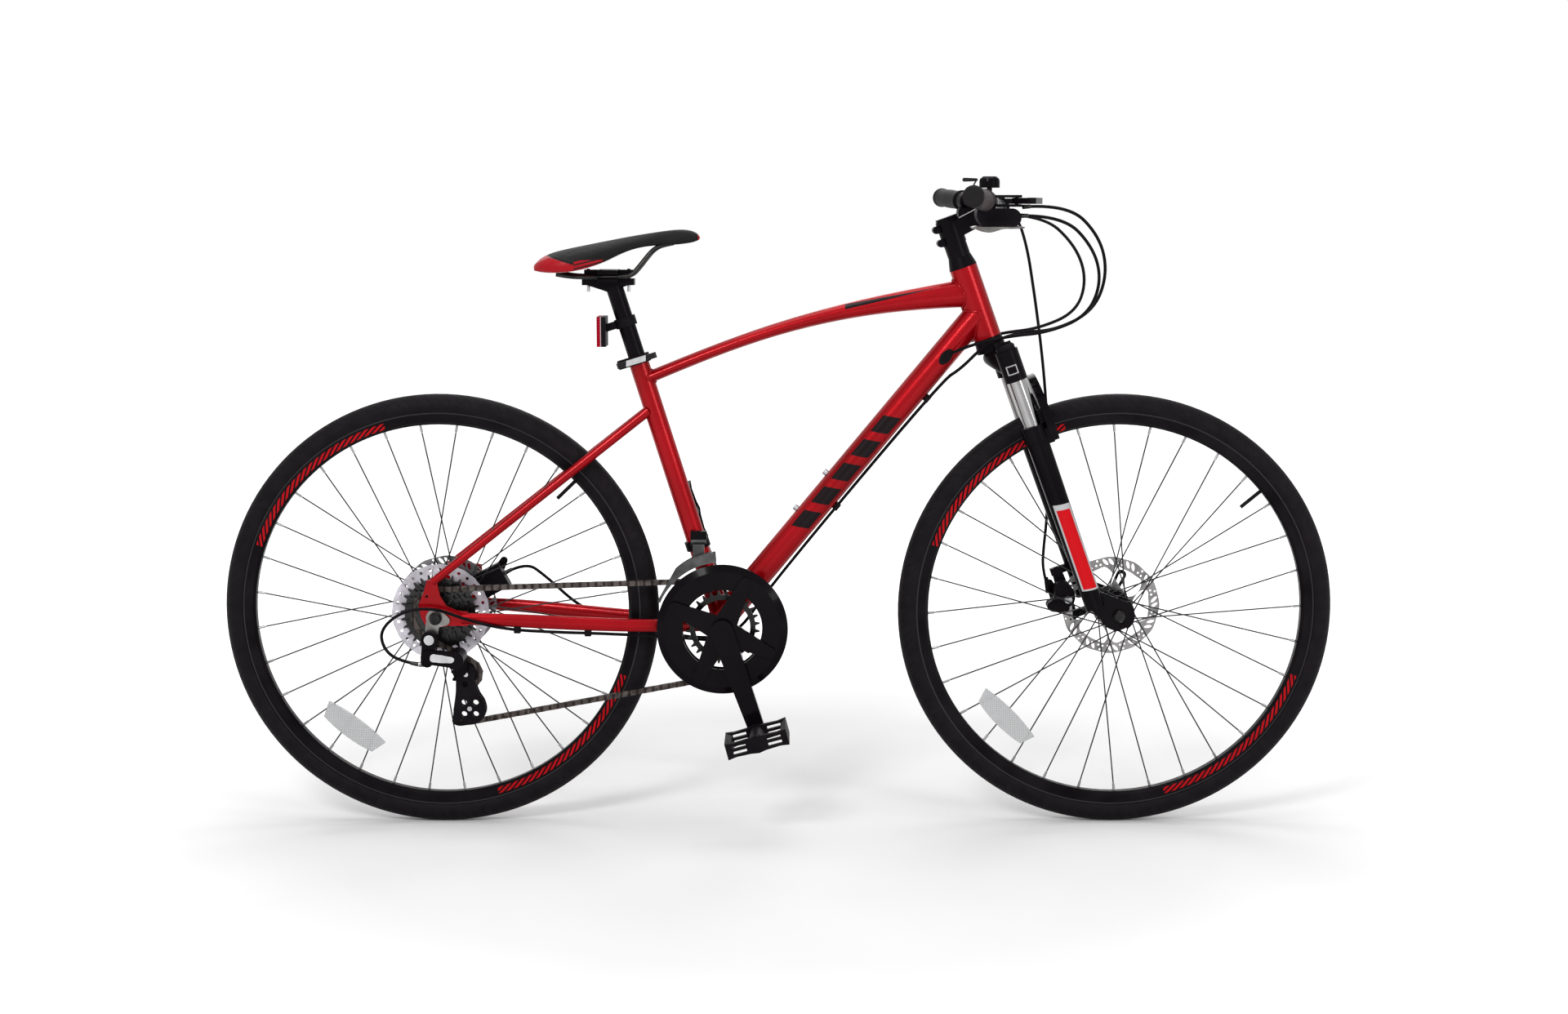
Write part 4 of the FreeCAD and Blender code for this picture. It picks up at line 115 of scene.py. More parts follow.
def times(first, second):
    return sums("MULTIPLY", first, second)


def plus(first, second):
    return sums("ADD", first, second)


def minus(first, second):
    return sums("SUBTRACT", first, second)


def unsigned(value):
    return sums("ABSOLUTE", value)


def sine(value, pitch):
    return sums("SINE", times(value, pitch))


def bumps(first, second, pitch):
    return times(sine(first, pitch), sine(second, pitch))


def distance(first, second):
    return sums("SQRT", plus(times(first, first), times(second, second)))


def grain(point, scale, detail=3.0):
    node = addNode(point.id_data, "TexNoise")
    feed(node, {"Vector": point, "Scale": scale, "Detail": detail})
    return node.outputs["Fac"]


def cells(point, scale):
    node = addNode(point.id_data, "TexVoronoi")
    feed(node, {"Vector": point, "Scale": scale})
    return node.outputs


def spread(value, low, high, fromLow=0.3, fromHigh=0.7):
    node = addNode(value.id_data, "MapRange")
    feed(node, dict(enumerate((value, fromLow, fromHigh, low, high))))
    return node.outputs[0]


def rising(value, low, high):
    return spread(value, 0, 1, low, high)


def falling(value, low, high):
    return spread(value, 1, 0, low, high)


def tint(share, first, second):
    node = addNode(share.id_data, "Mix", data_type="RGBA")
    colours = [colour if isSocket(colour) else (*colour, 1) for colour in (first, second)]
    feed(node, dict(zip((0, 6, 7), (share, *colours))))
    return node.outputs[2]


def clouded(point, scale, first, second):
    return tint(spread(grain(point, scale), 0, 1), first, second)


def relief(shader, height, strength, depth):
    node = addNode(shader.id_data, "Bump")
    feed(node, {"Height": height, "Strength": strength, "Distance": depth})
    feed(shader, {"Normal": node.outputs["Normal"]})


def between(value, low, high, soft=0.0004):
    return times(rising(value, low - soft, low + soft), falling(value, high - soft, high + soft))


def folded(operation, masks):
    made = masks[0]
    for mask in masks[1:]:
        made = sums(operation, made, mask)
    return made


def both(*masks):
    return folded("MULTIPLY", masks)


def either(*masks):
    return folded("MAXIMUM", masks)


# one table of looks, then the recipe that turns a look into a material
coatRoughness = 0.06
looks = {
    "blackSatin": dict(
        dark=(0.003, 0.002, 0.003), light=(0.0065, 0.005, 0.0065), metal=0.0, smooth=0.26, rough=0.42,
        cloud=16, fine=900, strength=0.12, depth=0.0002, coat=0.01, shine=0.035),
    "blackGloss": dict(
        dark=(0.0022, 0.0014, 0.0022), light=(0.0045, 0.0032, 0.0045), metal=0.0, smooth=0.1, rough=0.2,
        cloud=12, fine=500, strength=0.05, depth=0.0001, coat=0.05, shine=0.03),
    "anodised": dict(
        dark=(0.0045, 0.0035, 0.0045), light=(0.011, 0.0095, 0.011), metal=0.35, smooth=0.3, rough=0.46,
        cloud=20, fine=1400, strength=0.1, depth=0.0001, coat=0.0, shine=0.04),
    "mouldedBlack": dict(
        dark=(0.0035, 0.0025, 0.0035), light=(0.0095, 0.008, 0.0095), metal=0.0, smooth=0.4, rough=0.62,
        cloud=30, fine=1600, strength=0.3, depth=0.0002, coat=0.0, shine=0.04),
    "silver": dict(
        dark=(0.36, 0.36, 0.37), light=(0.56, 0.56, 0.57), metal=1.0, smooth=0.22, rough=0.38,
        cloud=40, fine=1200, strength=0.1, depth=0.0001, coat=0.0, shine=0.5),
    "chrome": dict(
        dark=(0.2, 0.195, 0.195), light=(0.34, 0.335, 0.335), metal=1.0, smooth=0.07, rough=0.14,
        cloud=10, fine=700, strength=0.03, depth=0.0001, coat=0.0, shine=0.5),
    "darkSteel": dict(
        dark=(0.012, 0.012, 0.013), light=(0.04, 0.038, 0.036), metal=0.85, smooth=0.26, rough=0.42,
        cloud=60, fine=1800, strength=0.12, depth=0.0001, coat=0.0, shine=0.3),
    "greySteel": dict(
        dark=(0.12, 0.115, 0.11), light=(0.26, 0.25, 0.24), metal=1.0, smooth=0.26, rough=0.4,
        cloud=50, fine=1500, strength=0.1, depth=0.0001, coat=0.0, shine=0.4),
    "cagePlate": dict(
        dark=(0.035, 0.035, 0.036), light=(0.1, 0.1, 0.102), metal=0.9, smooth=0.28, rough=0.44,
        cloud=45, fine=1500, strength=0.1, depth=0.0001, coat=0.0, shine=0.4),
    "spokeSteel": dict(
        dark=(0.012, 0.012, 0.013), light=(0.05, 0.05, 0.052), metal=0.9, smooth=0.22, rough=0.36,
        cloud=25, fine=1500, strength=0.05, depth=0.0001, coat=0.0, shine=0.3),
}


def plainFinish(name, look):
    shader, point, x, y, z = newFinish(name)
    fine = grain(point, look["fine"], 4)
    colour = clouded(point, look["cloud"], look["dark"], look["light"])
    feed(shader, {"Base Color": colour, "Roughness": spread(fine, look["smooth"], look["rough"]),
                  "Metallic": look["metal"], "Coat Weight": look["coat"], "Coat Roughness": coatRoughness,
                  "Specular IOR Level": look["shine"]})
    relief(shader, fine, look["strength"], look["depth"])
    return shader, colour, x, y, z


for name, look in looks.items():
    plainFinish(name, look)

# turned and brushed metal: fine rings round an axle
turnedLook = dict(rings=2600, dark=(0.15, 0.145, 0.145), light=(0.33, 0.32, 0.32), smooth=0.2, rough=0.36,
                  detail=2, cloud=35, lineShare=0.6, cloudShare=0.4, relief=(0.12, 0.0001))


def turnedFinish(name, axle, dark=turnedLook["dark"], light=turnedLook["light"], rings=turnedLook["rings"]):
    look = turnedLook
    shader, point, x, y, z = newFinish(name, axle)
    noise = addNode(point.id_data, "TexNoise", noise_dimensions="1D")
    feed(noise, {"W": distance(x, z), "Scale": rings, "Detail": look["detail"]})
    lines = noise.outputs[0]
    share = plus(times(lines, look["lineShare"]), times(grain(point, look["cloud"]), look["cloudShare"]))
    feed(shader, {"Base Color": tint(spread(share, 0, 1), dark, light), "Metallic": 1.0,
                  "Roughness": spread(lines, look["smooth"], look["rough"])})
    relief(shader, lines, *look["relief"])


# candy red over a silver base: flakes under a clear coat, with dark generic bars down the down tube
frameLook = dict(deep=(0.22, 0.001, 0.003), bright=(0.35, 0.0015, 0.006), flake=(0.55, 0.012, 0.02),
                 bar=(0.008, 0.004, 0.005), cloud=7, flakes=2600, flakeShare=0.45, smooth=0.26, rough=0.4,
                 metal=0.45, shine=0.05, coat=0.15, coatRough=0.12, ripple=260, relief=(0.04, 0.0002))
barLook = dict(starts=(0.213, 0.262, 0.311, 0.36, 0.409), width=0.033, low=-0.013, high=0.012, slant=0.55,
               soft=0.0006, flank=(0.0165, 0.0175))
accentLook = dict(start=(0.105, 0.834), slope=0.211, length=0.162, half=0.0042, soft=0.0005)


def frameMarks(point, x, z):
    look = barLook
    run = places["downFoot"] - places["downTop"]
    lean = math.atan2(run.z, run.x)
    along, side, above = parts(objectPoint(point.id_data, places["downTop"], (0, -lean, 0)))
    slid = plus(along, times(above, look["slant"]))
    bars = either(*(between(slid, start, start + look["width"], look["soft"]) for start in look["starts"]))
    flank = both(bars, between(above, look["low"], look["high"], look["soft"]),
                 rising(unsigned(side), *look["flank"]))
    # dark line along the front of the top tube, running out to a point
    look = accentLook
    gone = minus(x, look["start"][0])
    middle = plus(times(gone, look["slope"]), look["start"][1])
    half = spread(gone, look["half"], 0, 0, look["length"])
    off = minus(half, unsigned(minus(z, middle)))
    return either(flank, both(rising(off, 0, look["soft"]), between(gone, 0, look["length"])))


def frameFinish(name, barred):
    look = frameLook
    shader, point, x, y, z = newFinish(name)
    flakes = cells(point, look["flakes"])
    colour = clouded(point, look["cloud"], look["deep"], look["bright"])
    colour = tint(spread(flakes["Color"], 0, look["flakeShare"], 0.75, 1.0), colour, look["flake"])
    if barred:
        colour = tint(frameMarks(point, x, z), colour, look["bar"])
    rough = spread(flakes["Distance"], look["smooth"], look["rough"], 0, 1)
    feed(shader, {"Base Color": colour, "Roughness": rough, "Metallic": look["metal"],
                  "Specular IOR Level": look["shine"], "Coat Weight": look["coat"],
                  "Coat Roughness": look["coatRough"]})
    relief(shader, grain(point, look["ripple"]), *look["relief"])


# tyre rubber: fine ribs round the sidewall and a shallow tread pattern either side of a plain centre band,
# with painted shade in the tread cuts
tyreLook = dict(dark=(0.0042, 0.0031, 0.0042), light=(0.0092, 0.007, 0.0092), groove=(0.004, 0.004, 0.004),
                tread=0.331, treadSoft=0.003, band=(0.004, 0.0065), cutsRound=130, cutsAcross=700,
                cut=(0.72, 0.95), ribs=3600, ribHeight=0.12, fine=1500, fineHeight=0.25, cloud=45,
                smooth=0.48, rough=0.72, shine=0.08, relief=(0.5, 0.0006))


def tyreFinish(name, axle):
    look = tyreLook
    shader, point, x, y, z = newFinish(name, axle)
    radius = distance(x, z)
    across = unsigned(y)
    sweep = plus(times(sums("ARCTAN2", z, x), look["cutsRound"]), times(across, look["cutsAcross"]))
    grooves = both(rising(sums("SINE", sweep), *look["cut"]),
                   rising(radius, look["tread"], look["tread"] + look["treadSoft"]),
                   rising(across, *look["band"]))
    fine = grain(point, look["fine"])
    ribs = times(sine(radius, look["ribs"]), look["ribHeight"])
    colour = clouded(point, look["cloud"], look["dark"], look["light"])
    # the tread cuts are painted darker than the rubber: painted shade in the grooves
    feed(shader, {"Base Color": tint(grooves, colour, look["groove"]), "Specular IOR Level": look["shine"],
                  "Roughness": spread(fine, look["smooth"], look["rough"])})
    relief(shader, minus(plus(ribs, times(fine, look["fineHeight"])), grooves), *look["relief"])


# rim: black anodised, with a paler lip and slanted red bars on two stretches
rimLook = dict(lip=0.3165, lipSoft=0.0008, bright=(0.045, 0.044, 0.046), red=(0.42, 0.006, 0.01),
               inner=0.3035, outer=0.3135, bars=150, slant=900, share=-0.25, shareSoft=0.15,
               stretches=((106, 160), (286, 340)), stretchSoft=0.002)


def rimFinish(name, axle):
    look = rimLook
    shader, colour = plainFinish(name, looks["anodised"])[:2]
    x, y, z = parts(objectPoint(shader.id_data, axle))
    radius = distance(x, z)
    angle = sums("ARCTAN2", z, x)
    whole = plus(angle, times(sums("LESS_THAN", angle, 0.0), 2 * math.pi))
    slanted = plus(times(whole, look["bars"]), times(radius, look["slant"]))
    bars = rising(sums("SINE", slanted), look["share"], look["share"] + look["shareSoft"])
    zones = either(*(between(whole, math.radians(low), math.radians(high), look["stretchSoft"])
                     for low, high in look["stretches"]))
    colour = tint(both(bars, zones, between(radius, look["inner"], look["outer"])), colour, look["red"])
    lip = rising(radius, look["lip"], look["lip"] + look["lipSoft"])
    feed(shader, {"Base Color": tint(lip, colour, look["bright"])})


# fork legs: gloss black with a bare red panel in a silver edge on each outer face
panelLook = dict(low=0.058, high=0.203, back=-0.0115, front=0.0150, edge=0.0026, cap=0.009, slant=0.15,
                 lead=0.0165, outside=(0.060, 0.061), red=(0.6, 0.006, 0.011), silver=(0.5, 0.5, 0.51))


def forkPoint(shader):
    # ahead of, beside and along the steering axis
    lean = math.pi / 2 - places["headAngle"]
    return parts(objectPoint(shader.id_data, places["steerFoot"], (0, -lean, 0)))


def forkFinish(name):
    look = panelLook
    shader, colour = plainFinish(name, looks["blackGloss"])[:2]
    ahead, side, along = forkPoint(shader)
    lead = minus(ahead, look["lead"])
    rise = plus(along, times(lead, look["slant"]))
    outside = rising(unsigned(side), *look["outside"])
    edge = look["edge"]
    wide = both(outside, between(rise, look["low"], look["high"]), between(lead, look["back"], look["front"]))
    slim = both(outside, between(rise, look["low"] + edge, look["high"] - look["cap"]),
                between(lead, look["back"] + edge, look["front"] - edge))
    feed(shader, {"Base Color": tint(slim, tint(wide, colour, look["silver"]), look["red"])})


# fork crown: satin black with a small bare framed mark on each outer face
crownMark = dict(along=0.428, lead=0.0145, half=(0.0085, 0.0072), edge=0.0016, pale=(0.45, 0.45, 0.46))


def crownFinish(name):
    look = crownMark
    shader, colour = plainFinish(name, looks["blackSatin"])[:2]
    ahead, side, along = forkPoint(shader)
    outside = rising(unsigned(side), *panelLook["outside"])
    frames = []
    for edge in (0, look["edge"]):
        wide, tall = (half - edge for half in look["half"])
        frames.append(both(outside, between(ahead, look["lead"] - wide, look["lead"] + wide),
                           between(along, look["along"] - tall, look["along"] + tall)))
    feed(shader, {"Base Color": tint(minus(*frames), colour, look["pale"])})


# grips: soft black rubber, brown-grey flanks and rows of small pips
gripLook = dict(dark=(0.008, 0.007, 0.008), light=(0.07, 0.054, 0.057), pitch=1500, fine=1300, smooth=0.55,
                rough=0.8, shine=0.14, middle=0.288, flank=(0.004, 0.009), ends=(0.206, 0.21),
                relief=(0.4, 0.0005))


def gripFinish(name):
    look = gripLook
    shader, point, x, y, z = newFinish(name)
    fine = grain(point, look["fine"])
    flank = both(rising(minus(x, look["middle"]), *look["flank"]),
                 rising(unsigned(y), *look["ends"]))
    feed(shader, {"Base Color": tint(times(flank, spread(fine, 0.5, 1)), look["dark"], look["light"]),
                  "Roughness": spread(fine, look["smooth"], look["rough"]),
                  "Specular IOR Level": look["shine"]})
    relief(shader, plus(rising(bumps(y, z, look["pitch"]), 0, 0.5), fine), *look["relief"])


# chain: oiled brown-grey steel, each link a little different, with painted shade in the gaps at each link's
# waist
chainLook = dict(dark=(0.018, 0.014, 0.013), light=(0.12, 0.1, 0.092), pin=(0.008, 0.006, 0.006),
                 pitch=0.0127, links=130, fine=900, pinShare=0.75, waist=(0.1, 0.75), smooth=0.3, rough=0.5,
                 metal=0.9, relief=(0.15, 0.0001))


def chainFinish(name):
    look = chainLook
    shader, point, x, y, z = newFinish(name)
    fine = grain(point, look["fine"])
    # the waist of each link is painted dark: painted shade in the gaps between the link plates
    waist = spread(sine(x, 2 * math.pi / look["pitch"]), 0, look["pinShare"], *look["waist"])
    plates = tint(cells(point, look["links"])["Color"], look["dark"], look["light"])
    feed(shader, {"Base Color": tint(waist, plates, look["pin"]), "Metallic": look["metal"],
                  "Roughness": spread(fine, look["smooth"], look["rough"])})
    relief(shader, fine, *look["relief"])


# spokes: dark steel with bright nipples at the rim
spokeLook = dict(nipple=(0.2865, 0.287), bright=(0.3, 0.3, 0.31))


def spokeFinish(name, axle):
    shader, colour = plainFinish(name, looks["spokeSteel"])[:2]
    x, y, z = parts(objectPoint(shader.id_data, axle))
    outer = rising(distance(x, z), *spokeLook["nipple"])
    feed(shader, {"Base Color": tint(outer, colour, spokeLook["bright"])})


# clear plastics: reflectors with a prism grid whose facets are painted lighter and darker, painted light and
# shade, and the smoky disc behind the cogs
clearLook = dict(facetShadeAndHaze=0.45, haze=120, roughStep=0.14, bend=1.47, prismRelief=0.35, plainRelief=0.05,
                 depth=0.0006)


def clearFinish(name, colour, prism, thick, smooth):
    look = clearLook
    shader, point, x, y, z = newFinish(name)
    grid = bumps(plus(x, z), minus(x, z), prism) if prism else grain(point, look["haze"])
    facetShadeAndHaze = tuple(look["facetShadeAndHaze"] * part for part in colour)
    # on the reflectors the grid mixes the colour with a darker copy of itself, painted shade and painted
    # light on the prism facets; on the disc the noise only varies its tone at random
    feed(shader, {"Base Color": tint(rising(grid, -0.6, 0.8), facetShadeAndHaze, colour),
                  "Roughness": spread(grid, smooth, smooth + look["roughStep"], -0.5, 1),
                  "Transmission Weight": thick, "IOR": look["bend"]})
    relief(shader, grid, look["prismRelief" if prism else "plainRelief"], look["depth"])


# rear reflector: red prism lens with a pale edge on a black housing, split across the lens; the facets are
# painted as lit and shaded copies of the red
lensLook = dict(split=-0.2800, edge=0.0012, soft=0.0002, red=(0.42, 0.004, 0.02), deep=(0.2, 0.002, 0.008),
                pale=(0.5, 0.4, 0.42), pitch=1500, facets=(-0.7, 0.7))


def reflectorFinish(name):
    look = lensLook
    shader, colour, x, y, z = plainFinish(name, looks["mouldedBlack"])
    split, soft = look["split"], look["soft"]
    # the lens grid mixes the red with a darker copy of itself: painted shade and painted light on the prism
    # facets
    lens = tint(rising(bumps(y, z, look["pitch"]), *look["facets"]), look["deep"], look["red"])
    colour = tint(falling(x, split - soft, split + soft), colour, lens)
    feed(shader, {"Base Color": tint(between(x, split, split + look["edge"], soft), colour, look["pale"])})


# clamp lever: silver blade between a black cam and a black rounded tip
leverLook = dict(cam=-0.2395, tip=-0.2085, shine=0.15)


def clampLeverFinish(name):
    shader, colour, x, y, z = plainFinish(name, looks["silver"])
    blade = between(x, leverLook["cam"], leverLook["tip"])
    feed(shader, {"Base Color": tint(blade, looks["mouldedBlack"]["light"], colour), "Metallic": blade,
                  "Specular IOR Level": leverLook["shine"]})


reflectorFinish("reflector")
clampLeverFinish("clampLever")
frameFinish("frameRed", True)
frameFinish("stayRed", False)
turnedFinish("cogs", places["rearAxle"], (0.012, 0.012, 0.013), (0.05, 0.05, 0.05), 1800)
turnedFinish("rings", places["bracket"], (0.008, 0.008, 0.008), (0.035, 0.034, 0.034), 1500)
forkFinish("forkLegs")
crownFinish("forkCrown")
gripFinish("gripRubber")
chainFinish("chainSteel")
clearFinish("clearLens", (0.86, 0.87, 0.88), 1500, 0.35, 0.12)
clearFinish("clearDisc", (0.80, 0.77, 0.84), 0, 0.55, 0.16)

nodeFinish = {
    "frameRed": "main_frame",
    "stayRed": "rear_stays",
    "blackSatin": "stem handlebar seatpost seat_clamp front_caliper rear_caliper front_caliper_arm "
                  "rear_caliper_arm front_derailleur_body rear_derailleur_body right_brake_lever "
                  "left_brake_lever bearing_cups saddle_rails saddle front_qr_lever rear_qr_lever "
                  "left_shift_lever",
    "blackGloss": "bell right_crank left_crank chainrings",
    "anodised": "front_hub rear_hub rear_derailleur_cage",
    "mouldedBlack": "shift_brake_units lockout_knob right_pedal left_pedal "
                    "guide_pulley tension_pulley control_cables",
    "reflector": "rear_reflector",
    "clampLever": "seat_clamp_lever",
    "silver": "frame_fittings",
    "chrome": "stanchions",
    "greySteel": "rear_axle crank_axles",
    "cagePlate": "front_derailleur_cage right_shift_lever",
    "darkSteel": "bell_striker front_axle",
    "cogs": "cassette",
    "forkLegs": "fork_lowers",
    "forkCrown": "fork_crown",
    "gripRubber": "grips",
    "chainSteel": "chain",
    "clearLens": "front_spoke_reflector rear_spoke_reflector",
    "clearDisc": "spoke_protector",
}
wheelRecipes = dict(Tyre=tyreFinish, Rim=rimFinish, Rotor=turnedFinish, Spokes=spokeFinish)
for end in ("front", "rear"):
    for part, recipe in wheelRecipes.items():
        recipe(end + part, places[end + "Axle"])
        nodeFinish[end + part] = end + "_" + part.lower()
for finish, names in nodeFinish.items():
    for name in names.split():
        slots = nodes[name].data.materials
        slots.clear()
        slots.append(finishes[finish])


def paintZone(name, finish, low, high):
    # gives the faces inside a box, in metres, another finish
    data = nodes[name].data
    data.materials.append(finishes[finish])
    index = len(data.materials) - 1
    for face in data.polygons:
        if all(low[i] <= face.center[i] <= high[i] for i in range(3)):
            face.material_index = index


# faces that differ from the rest of their node: node, finish, low corner and high corner of a box
zones = [
    ("chainrings", "rings", (-1, -0.0539, 0), (1, 0, 1)),  # toothed rings behind the guard
    ("frame_fittings", "mouldedBlack", (0.08, -0.01, 0.5), (0.25, 0.01, 0.53)),  # lower cable clip
    ("frame_fittings", "mouldedBlack", (0.2, -0.01, 0.67), (0.25, 0.01, 0.7)),  # upper cable clip
    ("rear_axle", "darkSteel", (-0.551, -0.09, 0.337), (-0.529, -0.0792, 0.359)),  # axle nut
    ("rear_derailleur_body", "silver", (-0.558, -0.098, 0.307), (-0.540, -0.0949, 0.3255)),  # hanger bolt cap
    ("rear_derailleur_body", "silver", (-0.575, -0.095, 0.270), (-0.5635, -0.085, 0.283)),  # cable barrel
]
ringBolts = dict(places=((-0.042, 0.303), (-0.066, 0.373), (-0.136, 0.349), (-0.112, 0.279)), half=0.0062)
for x, z in ringBolts["places"]:
    half = ringBolts["half"]
    zones.append(("chainrings", "silver", (x - half, -0.0612, z - half), (x + half, -0.0600, z + half)))
clampBolts = dict(places=(-0.2995, -0.2355), half=0.004)
for x in clampBolts["places"]:  # ends of the two saddle clamp bolts
    half = clampBolts["half"]
    zones.append(("seatpost", "silver", (x - half, -half, 0.855), (x + half, half, 0.868)))
for zone in zones:
    paintZone(*zone)
print("finishes on every node:", len(finishes))


def makePiece(name, mesh, finish, body, node=None):
    piece = bpy.data.objects.new(name, mesh)
    scene.collection.objects.link(piece)
    piece.data.materials.append(finishes[finish])
    if body:
        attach(piece, body)
    if node:
        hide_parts(node)
    return piece


def bmeshPiece(name, shape, finish, body, node=None, smooth=False):
    mesh = bpy.data.meshes.new(name)
    bmesh.ops.recalc_face_normals(shape, faces=shape.faces)
    for face in shape.faces:
        face.smooth = smooth
    shape.to_mesh(mesh)
    shape.free()
    makePiece(name, mesh, finish, body, node)


def smoothed(mesh):
    for face in mesh.polygons:
        face.use_smooth = True
    return mesh


def meshOf(drawn):
    return bpy.data.meshes.new_from_object(drawn.evaluated_get(bpy.context.evaluated_depsgraph_get()))


def takeMesh(drawn):
    # the mesh that a curve or a modified piece makes, without its object
    scene.collection.objects.link(drawn)
    bpy.context.view_layer.update()
    mesh = meshOf(drawn)
    bpy.data.objects.remove(drawn)
    mesh.materials.clear()
    return mesh


# control cables: smooth housings along the routes of the solids; those that run between two bodies are left
# in place, attached to neither
cableLook = dict(diameter=0.005, sides=3)
cableRoutes = {
    "front_brake_housing": dict(
        between=("steering", "lower_fork"), start=(0.43, 0.09, 0.66), end=(0.44, 0.08, 0.47),
        points=((0.36625, 0.16654, 0.99048), (0.39, 0.146, 0.978), (0.405, 0.122, 0.925),
                (0.414, 0.105, 0.862), (0.423, 0.095, 0.796), (0.431, 0.091, 0.73), (0.437, 0.09, 0.664),
                (0.44, 0.09, 0.598), (0.441, 0.087, 0.532), (0.439, 0.08, 0.48), (0.433, 0.066, 0.438),
                (0.43, 0.053, 0.404), (0.439, 0.045, 0.373))),
    "rear_brake_housing": dict(
        between=("steering", "frame"), start=(0.45, -0.1, 0.93), end=(0.32, -0.03, 0.775),
        points=((0.36625, -0.16654, 0.99048), (0.436, -0.144, 0.995), (0.49, -0.112, 0.946),
                (0.507, -0.084, 0.888), (0.49, -0.06, 0.83), (0.432, -0.045, 0.799), (0.376, -0.039, 0.796),
                (0.324, -0.032, 0.776), (0.288, -0.012, 0.736), (0.26023, 0, 0.71764),
                (-0.01632, 0, 0.38339), (-0.066, 0.008, 0.305), (-0.128, 0.02, 0.296),
                (-0.196, 0.036, 0.305), (-0.262, 0.056, 0.317), (-0.325, 0.069, 0.338),
                (-0.383, 0.07, 0.392), (-0.413, 0.062, 0.415), (-0.4455, 0.058, 0.3983))),
    "rear_shift_housing": dict(
        between=("steering", "frame"), start=(0.45, -0.1, 0.93), end=(0.3, -0.04, 0.775),
        points=((0.36215, -0.17454, 0.97728), (0.428, -0.152, 0.978), (0.48, -0.124, 0.928),
                (0.496, -0.098, 0.874), (0.477, -0.074, 0.822), (0.418, -0.058, 0.796),
                (0.358, -0.047, 0.79), (0.2894, -0.043, 0.77326), (0.2604, -0.013, 0.75426))),
    "front_shift_housing": dict(
        between=("steering", "frame"), start=(0.45, 0.1, 0.93), end=(0.3, 0.04, 0.775),
        points=((0.36215, 0.17454, 0.97728), (0.432, 0.152, 0.978), (0.484, 0.124, 0.928),
                (0.5, 0.098, 0.874), (0.481, 0.074, 0.822), (0.418, 0.058, 0.796), (0.358, 0.047, 0.79),
                (0.2894, 0.043, 0.77326), (0.2604, 0.013, 0.75426))),
    "chainstay_shift_housing": dict(
        body="frame",
        points=((-0.112, -0.022, 0.302), (-0.17, -0.03, 0.309), (-0.222, -0.038, 0.313),
                (-0.29, -0.048, 0.318), (-0.35, -0.057, 0.3215), (-0.43, -0.068, 0.328),
                (-0.488, -0.085, 0.346), (-0.54, -0.09, 0.367), (-0.59, -0.09, 0.362),
                (-0.625, -0.09, 0.333), (-0.622, -0.089, 0.303), (-0.6, -0.088, 0.282),
                (-0.567, -0.0875, 0.276))),
}


def routeCurve(name, points, depth):
    data = bpy.data.curves.new(name, "CURVE")
    data.dimensions = "3D"
    spline = data.splines.new("NURBS")
    spline.points.add(len(points) - 1)
    for knot, point in zip(spline.points, points):
        knot.co = (*point, 1)
    spline.order_u = 3
    spline.use_endpoint_u = True
    spline.resolution_u = 12
    data.bevel_depth = depth
    data.bevel_resolution = cableLook["sides"]
    data.use_fill_caps = depth > 0
    return bpy.data.objects.new(name, data)


housings = {}
for name, route in cableRoutes.items():
    path = [tuple(vertex.co) for vertex in takeMesh(routeCurve(name, route["points"], 0)).vertices]
    mesh = smoothed(takeMesh(routeCurve(name, route["points"], cableLook["diameter"] / 2)))
    piece = makePiece(name, mesh, "mouldedBlack", None)
    if "between" in route:
        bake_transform(piece)
    else:
        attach(piece, route["body"])
    housings[name] = piece
for piece in housings.values():
    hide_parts("control_cables")
print("cables laid:", len(housings))


# flat plates with holes are drawn as an outline in X and Z, filled and given thickness
def ring(x, z, radius):
    return [(x + radius, z), (x, z + radius), (x - radius, z), (x, z - radius)]


def polar(reach, degrees):
    return (reach * math.cos(math.radians(degrees)), reach * math.sin(math.radians(degrees)))


def holesRound(count, at, radius, first=0.0):
    return [ring(*polar(at, 360 * (step + first) / count), radius) for step in range(count)]


def metres(points):
    return [(x / 1000, z / 1000) for x, z in points]


def sideways(y, centre):
    return centre + Vector((0, y, 0))


def plateMesh(name, outlines, look, centre, turn=0.0):
    edge = look["edge"]
    data = bpy.data.curves.new(name, "CURVE")
    data.dimensions = "2D"
    data.fill_mode = "BOTH"
    data.extrude = look["thick"] / 2 - edge
    data.bevel_depth = edge
    data.bevel_resolution = 1
    data.offset = -edge
    data.resolution_u = 6
    for outline in outlines:
        spline = data.splines.new("BEZIER")
        spline.bezier_points.add(len(outline) - 1)
        for knot, (x, z) in zip(spline.bezier_points, outline):
            knot.co = (x, z, 0)
            knot.handle_left_type = knot.handle_right_type = "AUTO"
        spline.use_cyclic_u = True
    mesh = takeMesh(bpy.data.objects.new(name, data))
    stand = Matrix.Rotation(math.radians(90), 4, "X")
    mesh.transform(Matrix.Translation(centre) @ Matrix.Rotation(turn, 4, "Y") @ stand)
    return mesh


def platePiece(name, outlines, look, centre, finish, body, node=None, turn=0.0):
    makePiece(name, plateMesh(name, outlines, look, Vector(centre), turn), finish, body, node)


def joined(meshes):
    shape = bmesh.new()
    for mesh in meshes:
        shape.from_mesh(mesh)
    bmesh.ops.remove_doubles(shape, verts=shape.verts, dist=0.00001)
    return shape


def addStud(shape, at, direction, radius, length, taper=0.9, sides=20):
    turn = Vector(direction).to_track_quat("Z", "Y").to_matrix().to_4x4()
    bmesh.ops.create_cone(shape, cap_ends=True, segments=sides, radius1=radius, radius2=radius * taper,
                          depth=length, matrix=Matrix.Translation(at) @ turn)


